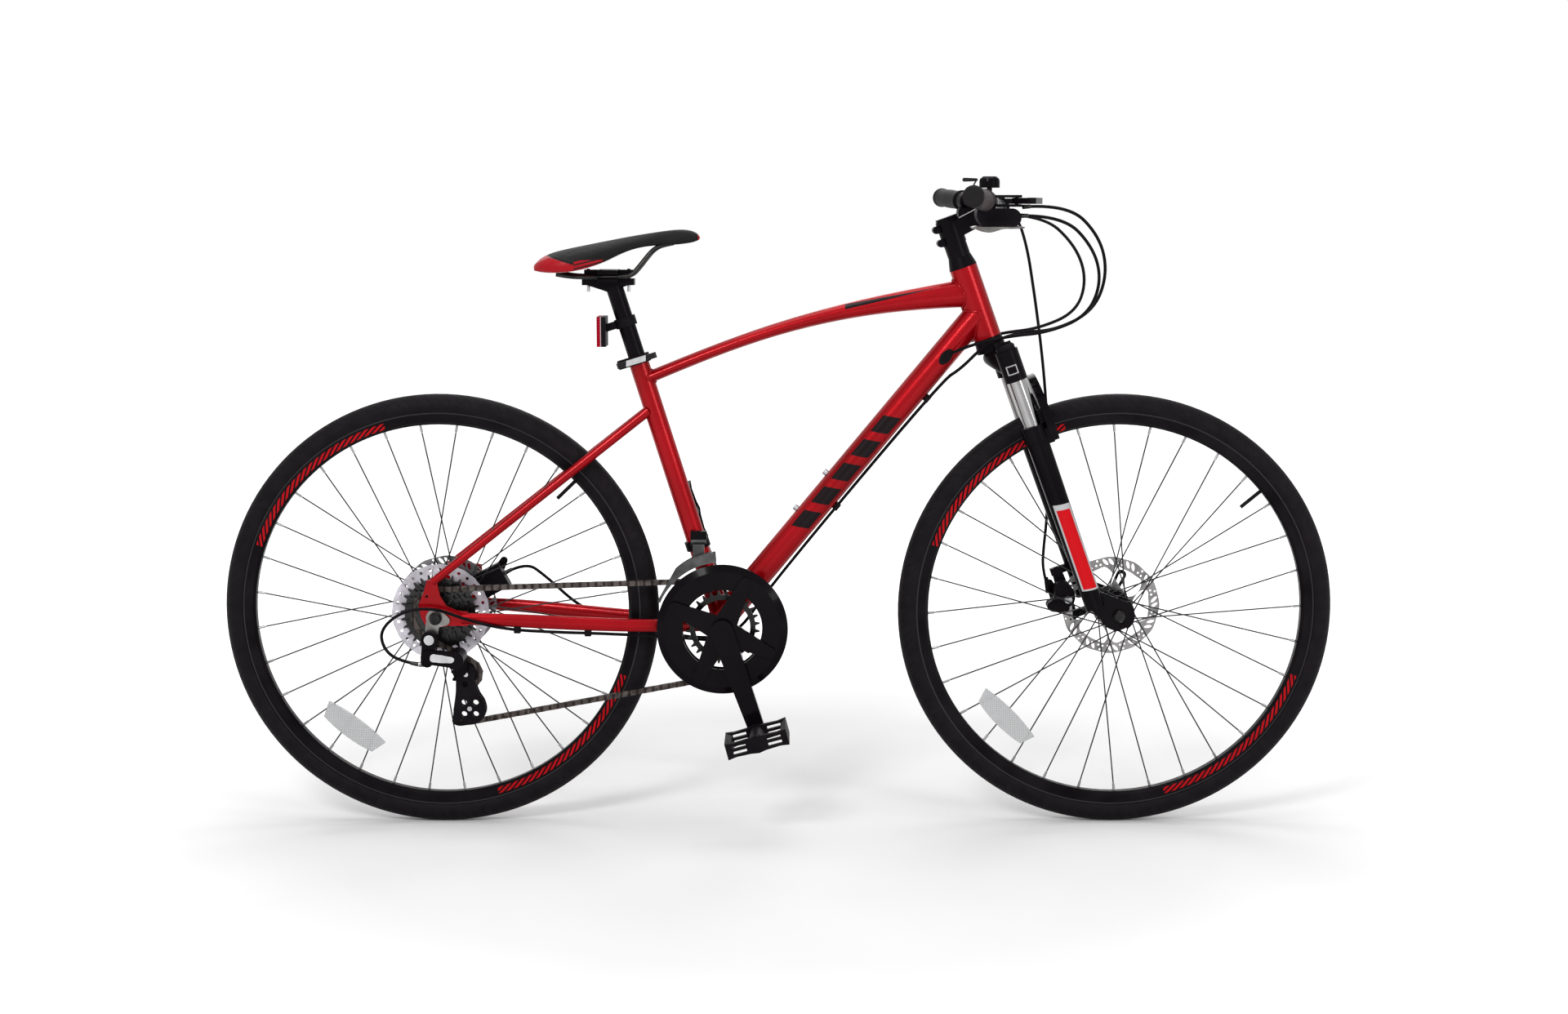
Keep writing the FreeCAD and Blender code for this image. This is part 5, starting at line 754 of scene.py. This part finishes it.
# derailleur cage: two dark plates with windows round the lower pulley
cageLook = dict(pulley=(-0.49275, 0.19625), guide=(-0.498, 0.252), plates=(-0.0512, -0.0388), thick=0.0016,
                edge=0.0003, windows=4, windowAt=0.0132, windowSize=0.0052, shaft=(0.0029, 0.0128),
                head=(0.0042, 0.0012), holes=((-0.007, 0.040, 0.0045), (-0.014, -0.0195, 0.0022)), outline=(
    (-18, 62), (-6, 73), (8, 66), (10, 42), (15, 26), (24, 10), (25, -8), (14, -22), (-6, -27), (-22, -27),
    (-28, -22), (-27, -13), (-25, 4), (-22, 26), (-21, 46)))


def makeCage():
    look = cageLook
    x, z = look["pulley"]
    outlines = [metres(look["outline"])] + [ring(*hole) for hole in look["holes"]]
    outlines += holesRound(look["windows"], look["windowAt"], look["windowSize"], 0.5)
    shape = joined([plateMesh("cage", outlines, look, Vector((x, y, z))) for y in look["plates"]])
    heads = bmesh.new()
    for x, z in (look["pulley"], look["guide"]):  # the shafts that the pulleys turn on, and their bolt heads
        addStud(shape, (x, sum(look["plates"]) / 2, z), (0, -1, 0), *look["shaft"], 1.0)
        addStud(heads, (x, look["plates"][0] - look["head"][1], z), (0, -1, 0), *look["head"])
    body = "rear_derailleur_cage_body"
    bmeshPiece("derailleur_cage", shape, "anodised", body, "rear_derailleur_cage")
    bmeshPiece("cage_bolt_heads", heads, "silver", body)


makeCage()

# jockey wheels: toothed plates, the lower one with windows that show through the cage
pulleyLook = dict(teeth=11, tip=0.0245, root=0.0192, y=-0.045, thick=0.0046, edge=0.0004, bore=0.0031,
                  windows=4, windowAt=0.0132, windowSize=0.0044)


def makePulley(name, node, centre, windows):
    look = pulleyLook
    teeth = [polar(look["root"] if step % 2 else look["tip"], 180 * (step + 0.5) / look["teeth"])
             for step in range(2 * look["teeth"])]
    outlines = [teeth, ring(0, 0, look["bore"])]
    outlines += holesRound(windows, look["windowAt"], look["windowSize"], 0.5)
    platePiece(name, outlines, look, (centre[0], look["y"], centre[1]), "mouldedBlack", node + "_body",
               node)


makePulley("lower_jockey_wheel", "tension_pulley", cageLook["pulley"], pulleyLook["windows"])
makePulley("upper_jockey_wheel", "guide_pulley", cageLook["guide"], 0)

# derailleur: bare silver plate on the outer link
linkPlate = dict(centre=(-0.5275, -0.1014, 0.2872), half=(0.019, 0.0062), thick=0.0014, edge=0.0003,
                 slope=0.1, outline=((-1, 0), (-0.9, 0.85), (-0.4, 1), (0.5, 0.8), (0.95, 0.5), (1, 0),
                                     (0.9, -0.6), (0.4, -0.9), (-0.5, -1), (-0.92, -0.8)))


def makeLinkPlate():
    look = linkPlate
    wide, tall = look["half"]
    outline = [(wide * a, tall * b) for a, b in look["outline"]]
    platePiece("derailleur_plate", [outline], look, look["centre"], "silver", "frame",
               turn=look["slope"])


makeLinkPlate()

# disc behind the cogs: clear plastic with a ring of holes
discLook = dict(radius=0.078, bore=0.027, y=-0.025, thick=0.0018, edge=0.0003,
                holes=((28, 0.0695, 0.0026), (14, 0.058, 0.0038)))


def makeDisc():
    look = discLook
    outlines = [ring(0, 0, look["radius"]), ring(0, 0, look["bore"])]
    for count, at, radius in look["holes"]:
        outlines += holesRound(count, at, radius)
    platePiece("protector_disc", outlines, look, sideways(look["y"], places["rearAxle"]), "clearDisc",
               "rear_wheel", "spoke_protector")


makeDisc()

# brake rotors: a slotted and drilled ring with a wavy edge on six swept arms, bolted to the hub
rotorLook = dict(outer=0.0799, wave=0.0014, waves=12, thick=0.0018, edge=0.0002, bore=0.0152, arms=6,
                 sweep=18, window=dict(outer=0.0622, inner=0.0325, wide=23, narrow=17), groups=12,
                 slots=dict(at=0.0714, turns=(0, 7.5), long=0.0125, wide=0.0028, lean=38),
                 holes=((0.0682, 14.5), (0.0752, 17.5), (0.0686, 20.5)), holeSize=0.0017,
                 bolts=6, boltsAt=0.022, boltSize=(0.0038, 0.0016), boltLift=0.0017)


def slotOutline(slots, degrees):
    middle = Vector(polar(slots["at"], degrees))
    along = Vector(polar(slots["long"] / 2, degrees + slots["lean"]))
    across = Vector((-along.y, along.x)).normalized() * slots["wide"] / 2
    corners = ((-1, 0), (-0.8, -1), (0.8, -1), (1, 0), (0.8, 1), (-0.8, 1))
    return [tuple(middle + along * a + across * b) for a, b in corners]


def makeRotor(name, node, body, axle, y):
    look = rotorLook
    rim = []
    for step in range(4 * look["waves"]):
        dip = look["wave"] * (0, 0.5, 1, 0.5)[step % 4]
        rim.append(polar(look["outer"] - dip, 360 * step / (4 * look["waves"])))
    outlines = [rim, ring(0, 0, look["bore"])]
    window = look["window"]
    for arm in range(look["arms"]):
        middle = 360 * arm / look["arms"]
        swept = middle - look["sweep"]
        outlines.append(
            [polar(window["outer"], middle + share * window["wide"]) for share in (-1, -0.4, 0.4, 1)]
            + [polar(window["inner"], swept + share * window["narrow"]) for share in (1, 0, -1)])
    for group in range(look["groups"]):
        first = 360 * group / look["groups"]
        outlines += [slotOutline(look["slots"], first + turn) for turn in look["slots"]["turns"]]
        outlines += [ring(*polar(reach, first + turn), look["holeSize"]) for reach, turn in look["holes"]]
    shape = joined([plateMesh(name, outlines, look, sideways(y, axle))])
    for bolt in range(look["bolts"]):
        x, z = polar(look["boltsAt"], 360 * (bolt + 0.5) / look["bolts"])
        at = axle + Vector((x, y + look["boltLift"], z))
        addStud(shape, at, (0, 1, 0), *look["boltSize"], sides=12)
    bmeshPiece(name, shape, node.split("_")[0] + "Rotor", body, node)


makeRotor("front_slotted_rotor", "front_rotor", "front_wheel", places["frontAxle"], 0.0395)
makeRotor("rear_slotted_rotor", "rear_rotor", "rear_wheel", places["rearAxle"], 0.0522)

# front caliper: two rounded halves either side of the rotor, joined outside its edge, on a strap
# outlines are millimetres behind and above the axle; a stud is its radius, length, taper and sides
caliperLook = dict(
    y=0.0395, half=0.013, slot=0.0042, edge=0.0016,
    outline=((87, 40), (79, 42), (66, 33), (59, 18), (61, 5), (67, -1), (73, -8), (88, -10), (100, -7),
             (104, 2), (96, 10), (92, 20), (91, 33)),
    bridge=dict(overlap=0.002, edge=0.0002, outline=(
        (84, -9), (93, -9), (101, -5), (103, 2), (95, 10), (91, 20), (90, 33), (86, 39), (79, 41),
        (77, 38), (81.5, 25), (83.2, 10), (83.6, 0))),
    strap=dict(ends=((60.3, -19.6), (86.7, 53.8)), radius=0.008, thick=0.006, edge=0.0008),
    drum=dict(at=(83, 2.2), off=0.0015, stud=(0.013, 0.005, 0.95, 32)),
    dial=dict(at=(70.3, 11.2), offs=(0.0006, 0.0026),
              studs=((0.0068, 0.0032, 0.92, 28), (0.00306, 0.0016, 0.9, 12))),
    barrel=dict(at=(0.4392, 0.045, 0.370), toward=(-0.16, 0.12, 0.98), lead=0.010,
                stud=(0.0046, 0.026, 0.75)))


def strapOutline(first, last, radius):
    run = (Vector(last) - Vector(first)).normalized() * radius
    side = Vector((-run.y, run.x))
    slant = math.sqrt(0.5)
    offsets = ((first, -run), (first, (side - run) * slant), (first, side),
               (last, side), (last, (side + run) * slant), (last, run), (last, (run - side) * slant),
               (last, -side), (first, -side), (first, (-side - run) * slant))
    return [tuple(Vector(end) + offset) for end, offset in offsets]


def behindAxle(points):
    return [(-back / 1000, up / 1000) for back, up in points]


def makeCaliper():
    look = caliperLook
    axle = places["frontAxle"]
    y, half = look["y"], look["half"]
    gap = look["slot"] / 2
    cheek = dict(thick=half - gap, edge=look["edge"])
    outline = behindAxle(look["outline"])
    plates = [plateMesh("caliper", [outline], cheek, sideways(y + side * (gap + cheek["thick"] / 2), axle))
              for side in (-1, 1)]
    bridge = dict(thick=2 * gap + look["bridge"]["overlap"], edge=look["bridge"]["edge"])
    plates.append(plateMesh("caliper", [behindAxle(look["bridge"]["outline"])], bridge, sideways(y, axle)))
    strap = look["strap"]
    outline = strapOutline(*behindAxle(strap["ends"]), strap["radius"])
    plates.append(plateMesh("caliper", [outline], strap, sideways(y + half - strap["thick"] / 2, axle)))
    shape = joined(plates)
    drum = look["drum"]
    x, z = behindAxle([drum["at"]])[0]
    addStud(shape, axle + Vector((x, y + half + drum["off"], z)), (0, 1, 0), *drum["stud"])
    barrel = look["barrel"]
    lead = Vector(barrel["toward"]).normalized() * barrel["lead"]
    addStud(shape, Vector(barrel["at"]) + lead, barrel["toward"], *barrel["stud"])
    bmeshPiece("front_caliper_halves", shape, "blackSatin", "lower_fork", "front_caliper")
    dial = look["dial"]
    shape = bmesh.new()
    x, z = behindAxle([dial["at"]])[0]
    for off, stud in zip(dial["offs"], dial["studs"]):
        addStud(shape, axle + Vector((x, y - half - off, z)), (0, -1, 0), *stud)
    bmeshPiece("front_caliper_dial", shape, "silver", "lower_fork")


makeCaliper()

# saddle rails: two bent rods from the tail, through the clamp and up under the nose
railLook = dict(radius=0.004, points=(
    (-0.3475, 0.0305, 0.8862), (-0.3385, 0.0285, 0.8842), (-0.318, 0.0245, 0.8815), (-0.298, 0.022, 0.8815),
    (-0.268, 0.022, 0.8815), (-0.242, 0.022, 0.8815), (-0.230, 0.021, 0.8840), (-0.219, 0.0182, 0.8960),
    (-0.208, 0.0155, 0.9100), (-0.197, 0.013, 0.9230), (-0.183, 0.011, 0.9310), (-0.165, 0.0095, 0.9340)))


def makeRails():
    look = railLook
    meshes = [takeMesh(routeCurve("rail", [(x, side * y, z) for x, y, z in look["points"]], look["radius"]))
              for side in (-1, 1)]
    bmeshPiece("saddle_rail_rods", joined(meshes), "darkSteel", "seat", "saddle_rails", True)


makeRails()

# head of the seatpost: a cast yoke that runs from the tube out to both clamp bolts
yokeLook = dict(thick=0.024, edge=0.0025, outline=(
    (-309, 875), (-304, 869.5), (-292, 865), (-278, 860.5), (-268, 857.5), (-259, 859.5), (-247, 864),
    (-234, 869.5), (-229, 874), (-234, 877.2), (-268, 877.6), (-304, 877.2)))
platePiece("post_yoke", [metres(yokeLook["outline"])], yokeLook, (0, 0, 0), "blackSatin", "seat")

# right shift lever: a thumb paddle that bellies out under the pod
paddleLook = dict(y=-0.172, thick=0.040, edge=0.0008, outline=(
    (289, 960), (297, 957), (306, 953.6), (316, 952.6), (326, 955), (335, 957.6), (350, 958), (364, 958.8),
    (367, 959.8), (364, 961.4), (350, 961.8), (330, 961.8), (306, 961.8), (292, 961.6)))
platePiece("thumb_paddle", [metres(paddleLook["outline"])], paddleLook, (0, paddleLook["y"], 0), "greySteel",
           "right_shift_lever_body", "right_shift_lever")
print("rotors, caliper, rails, yoke and paddle made")

# weld beads where the tubes meet: the ring where an oval tube runs into a round one, rippled
weldLook = dict(thick=0.0021, knots=72, ripple=0.2, back=0.06)
steerUp = Vector((-math.cos(places["headAngle"]), 0, math.sin(places["headAngle"])))
seatUp = Vector((-math.cos(places["seatAngle"]), 0, math.sin(places["seatAngle"])))
downRun = (places["downTop"] - places["downFoot"]).normalized()
welds = {
    "weld_top_head": dict(at=(0.3056, 0, 0.8562), toward=(0.0778, 0, 0.0091), half=(0.0226, 0.0177),
                          axis=places["steerFoot"], up=steerUp, radius=0.022),
    "weld_down_head": dict(at=places["downTop"], toward=downRun, half=(0.021, 0.0222),
                           axis=places["steerFoot"], up=steerUp, radius=0.022),
    "weld_top_seat": dict(at=(-0.2128, 0, 0.7189), toward=(-0.1555, 0, -0.0612), half=(0.0096, 0.0145),
                          axis=places["bracket"], up=seatUp, radius=0.0159),
}


def makeWeld(name, weld):
    toward = Vector(weld["toward"]).normalized()
    side = Vector((0, 1, 0))
    over = toward.cross(side)
    across = toward - weld["up"] * toward.dot(weld["up"])
    data = bpy.data.curves.new(name, "CURVE")
    data.dimensions = "3D"
    data.bevel_depth = weldLook["thick"]
    data.bevel_resolution = 2
    spline = data.splines.new("POLY")
    spline.points.add(weldLook["knots"] - 1)
    spline.use_cyclic_u = True
    for step, knot in enumerate(spline.points):
        turn = 2 * math.pi * step / weldLook["knots"]
        tall, wide = weld["half"]
        start = Vector(weld["at"]) - toward * weldLook["back"]
        start += over * (tall * math.cos(turn)) + side * (wide * math.sin(turn))
        off = start - weld["axis"]
        off -= weld["up"] * off.dot(weld["up"])
        a, b, c = across.dot(across), 2 * off.dot(across), off.dot(off) - weld["radius"] ** 2
        reach = (-b - math.sqrt(max(b * b - 4 * a * c, 0))) / (2 * a)
        knot.co = (*(start + toward * reach), 1)
        knot.radius = 1 + weldLook["ripple"] * (1 if step % 2 else -1)
    mesh = smoothed(takeMesh(bpy.data.objects.new(name, data)))
    makePiece(name, mesh, "stayRed", "frame")


for name, weld in welds.items():
    makeWeld(name, weld)

# black inserts where the shift housings enter the down tube
portLook = dict(at=(0.2640, 0.0222, 0.7560), half=(0.0145, 0.005), round=0.6, thick=0.004, edge=0.001)


def makePorts():
    wide, tall = portLook["half"]
    flat = wide - tall * portLook["round"]
    stadium = [(-wide, 0), (-flat, tall), (flat, tall), (wide, 0), (flat, -tall), (-flat, -tall)]
    lean = -math.atan2(downRun.z, downRun.x)
    x, y, z = portLook["at"]
    plates = [plateMesh("port", [stadium], portLook, Vector((x, offset, z)), lean) for offset in (-y, y)]
    bmeshPiece("cable_ports", joined(plates), "mouldedBlack", "frame")


makePorts()

# guides that hold the shift housing under the right chainstay
guideLook = dict(places=((-0.413, -0.0645, 0.3270), (-0.3026, -0.0495, 0.3192)), size=(0.011, 0.009, 0.011),
                 bevel=0.0016)


def makeGuides():
    shape = bmesh.new()
    for at in guideLook["places"]:
        place = Matrix.Translation(at) @ Matrix.Diagonal((*guideLook["size"], 1))
        bmesh.ops.create_cube(shape, size=1, matrix=place)
    bmesh.ops.bevel(shape, geom=shape.edges[:], offset=guideLook["bevel"], affect="EDGES", segments=2,
                    profile=0.5, material=-1)
    bmeshPiece("chainstay_guides", shape, "mouldedBlack", "frame")


makeGuides()

# ferrules: caps on the ends of the housings
ferruleLook = dict(stud=(0.0036, 0.012, 0.85))
ferruleBodies = {
    "front_brake_housing": ("steering", "lower_fork"),
    "rear_brake_housing": ("steering", "frame"),
    "rear_shift_housing": ("steering", None),
    "front_shift_housing": ("steering", None),
    "chainstay_shift_housing": (None, "frame"),
}
for name, ends in ferruleBodies.items():
    points = [Vector(point) for point in cableRoutes[name]["points"]]
    for body, end, nextPoint in ((ends[0], points[0], points[1]), (ends[1], points[-1], points[-2])):
        if body:
            shape = bmesh.new()
            away = (nextPoint - end).normalized()
            addStud(shape, end + away * (ferruleLook["stud"][1] / 2), away, *ferruleLook["stud"])
            bmeshPiece(name + "_ferrule_" + body, shape, "darkSteel", body)
print("small fittings made")

# saddle: foam under a sewn cover, blown up a little from the solid, with a red tail panel and nose tip
# lines are a slope and a height; the panel, seam and stitches end at an x, over a millimetre
saddleLook = dict(
    voxel=0.004, inset=0.0018, pressure=4.0, frames=20, cap=0.0045, fill=0.75, weld=0.00002, under=-0.5,
    base=-0.6, black=(0.005, 0.005, 0.0055), worn=(0.011, 0.0105, 0.0105), red=(0.36, 0.006, 0.012),
    seam=(0.004, 0.004, 0.004), thread=(0.03, 0.03, 0.03), pores=900, cloud=22, shine=0.12,
    relief=(0.35, 0.0008), panelLine=(-0.3, 0.8075), panelEnd=-0.3165, soft=0.0004, nose=(-0.1275, -0.1265),
    wedgeLine=(0.02, 0.9145), wedge=(-0.316, -0.272, 0.0006), stripeLean=-0.25, stripes=1050,
    stripe=(-0.55, -0.35), seamHalf=0.0012, seamEnd=-0.317, noseSeam=(-0.1282, -0.1262),
    stitchBand=(0.0026, 0.0038), stitchEnd=-0.319, stitches=1600, stitch=(-0.1, 0.1),
    rough=0.62, redGloss=0.28, poreHeight=0.3, stitchHeight=0.8)


def aboveLine(x, z, slope, height):
    return minus(z, plus(times(x, slope), height))


def behind(x, end):
    return falling(x, end, end + 0.001)


def saddleFinish(name):
    look = saddleLook
    shader, point, x, y, z = newFinish(name)
    soft, half = look["soft"], look["seamHalf"]
    colour = clouded(point, look["cloud"], look["black"], look["worn"])
    # height above the slanted line where the red tail panel ends
    line = aboveLine(x, z, *look["panelLine"])
    tail = both(falling(line, -soft, soft), behind(x, look["panelEnd"]))
    # pointed stripes that run on from the panel along the lower edge
    taper = aboveLine(x, z, *look["wedgeLine"])
    wedge = both(falling(taper, -soft, soft), between(x, *look["wedge"]))
    stripes = rising(sine(plus(z, times(x, look["stripeLean"])), look["stripes"]), *look["stripe"])
    red = either(tail, rising(x, *look["nose"]), times(wedge, stripes))
    seam = either(both(between(line, -half, half), behind(x, look["seamEnd"])), between(x, *look["noseSeam"]))
    stitches = both(between(line, *look["stitchBand"]), behind(x, look["stitchEnd"]),
                    rising(sine(plus(x, y), look["stitches"]), *look["stitch"]))
    colour = tint(seam, tint(red, colour, look["red"]), look["seam"])
    rough = minus(look["rough"], times(red, look["redGloss"]))
    feed(shader, {"Base Color": tint(stitches, colour, look["thread"]), "Specular IOR Level": look["shine"],
                  "Roughness": rising(rough, 0, 1)})
    pores = times(cells(point, look["pores"])["Distance"], look["poreHeight"])
    relief(shader, plus(pores, minus(times(stitches, look["stitchHeight"]), seam)), *look["relief"])


def puffedMesh(name, source, look):
    # the recipe for padded covers: remesh, blow up, cap the move
    shape = bmesh.new()
    shape.from_mesh(source)
    bmesh.ops.remove_doubles(shape, verts=shape.verts, dist=look["weld"])
    bmesh.ops.recalc_face_normals(shape, faces=shape.faces)
    shape.normal_update()
    for vertex in shape.verts:
        if vertex.normal.z > look["under"]:
            vertex.co -= vertex.normal * look["inset"]
    start = bpy.data.meshes.new(name + "_start")
    shape.to_mesh(start)
    shape.free()
    rough = bpy.data.objects.new(name + "_rough", start)
    remesh = rough.modifiers.new("remesh", "REMESH")
    remesh.mode = "VOXEL"
    remesh.voxel_size = look["voxel"]
    mesh = takeMesh(rough)
    rest = [vertex.co.copy() for vertex in mesh.vertices]
    blown = bpy.data.objects.new(name + "_blown", mesh)
    scene.collection.objects.link(blown)
    base = blown.vertex_groups.new(name="base")
    base.add([vertex.index for vertex in mesh.vertices if vertex.normal.z < look["base"]], 1.0, "ADD")
    cloth = blown.modifiers.new("cloth", "CLOTH")
    cloth.settings.use_pressure = True
    cloth.settings.uniform_pressure_force = look["pressure"]
    cloth.settings.effector_weights.gravity = 0
    cloth.settings.vertex_group_mass = "base"
    cloth.point_cache.frame_end = look["frames"]
    for step in range(1, look["frames"] + 1):
        scene.frame_set(step)
    made = meshOf(blown)
    bpy.data.objects.remove(blown)
    scene.frame_set(1)
    for vertex, old in zip(made.vertices, rest):
        move = vertex.co - old
        if move.length > look["cap"]:
            vertex.co = old + move * (look["cap"] / move.length)
    return made


def makeSaddle():
    saddleFinish("saddleCover")
    mesh = smoothed(puffedMesh("saddle_cover", nodes["saddle"].data, saddleLook))
    piece = makePiece("saddle_cover", mesh, "saddleCover", "seat")
    smooth = piece.modifiers.new("round", "SUBSURF")
    smooth.levels = 1
    smooth.render_levels = 1
    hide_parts("saddle")


makeSaddle()
print("saddle padded")

# stage: white floor and backdrop, four area lamps, and the camera matched to the photo
stageLook = dict(dark=(0.86, 0.86, 0.86), pale=(0.9, 0.9, 0.9), white=(1, 1, 1, 1), half=14, cloud=2,
                 rough=0.9, shine=0.1, near=0.7, far=2.4, glow=0.7, sky=0.42)
cameraLook = dict(lens=50.7, sensor=36, place=(0.0089, -3.5, 0.995), tilt=7.82)
lampTarget = Vector((0, 0, 0.5))
lamps = {
    "key": dict(place=(-1.5, -3.2, 3.0), size=1.0, power=70),
    "fill": dict(place=(2.7, -2.8, 1.7), size=1.2, power=36),
    "top": dict(place=(0, 0.3, 3.6), size=2.4, power=48),
    "back": dict(place=(0.5, 3.2, 2.4), size=2.0, power=30),
}


def seenWhite(tree):
    # 1 for what the camera, a mirror or a pane looks at, 0 for what only lights the object
    rays = addNode(tree, "LightPath").outputs
    return either(rays["Is Camera Ray"], rays["Is Glossy Ray"], rays["Is Transmission Ray"])


def makeFloor():
    look = stageLook
    shape = bmesh.new()
    bmesh.ops.create_grid(shape, x_segments=1, y_segments=1, size=look["half"])
    mesh = bpy.data.meshes.new("floor")
    shape.to_mesh(mesh)
    shape.free()
    floor = bpy.data.objects.new("floor", mesh)
    scene.collection.objects.link(floor)
    shader, point, x, y, z = newFinish("floor")
    # the floor fades to the white of the backdrop away from the object, and keeps the shadow under it
    fade = spread(distance(x, y), 0, look["glow"], look["near"], look["far"])
    feed(shader, {"Base Color": clouded(point, look["cloud"], look["dark"], look["pale"]),
                  "Roughness": look["rough"], "Specular IOR Level": look["shine"],
                  "Emission Color": look["white"],
                  "Emission Strength": times(fade, seenWhite(point.id_data))})
    mesh.materials.append(finishes["floor"])


def makeBackdrop():
    world = bpy.data.worlds.new("studio")
    world.use_nodes = True
    strength = spread(seenWhite(world.node_tree), stageLook["sky"], 1, 0, 1)
    feed(world.node_tree.nodes["Background"], {"Color": stageLook["white"], "Strength": strength})
    scene.world = world


def makeLamp(name, look):
    data = bpy.data.lights.new(name, "AREA")
    data.size = look["size"]
    data.energy = look["power"]
    lamp = bpy.data.objects.new(name, data)
    lamp.location = look["place"]
    lamp.rotation_euler = (lampTarget - Vector(look["place"])).to_track_quat("-Z", "Y").to_euler()
    scene.collection.objects.link(lamp)


def makeCamera():
    data = bpy.data.cameras.new("camera")
    data.lens = cameraLook["lens"]
    data.sensor_width = cameraLook["sensor"]
    data.sensor_fit = "HORIZONTAL"
    camera = bpy.data.objects.new("camera", data)
    camera.location = cameraLook["place"]
    camera.rotation_euler = (math.radians(90 - cameraLook["tilt"]), 0, 0)
    scene.collection.objects.link(camera)
    scene.camera = camera


makeFloor()
makeBackdrop()
for name, look in lamps.items():
    makeLamp(name, look)
makeCamera()
scene.view_settings.view_transform = "Standard"
print("stage set")
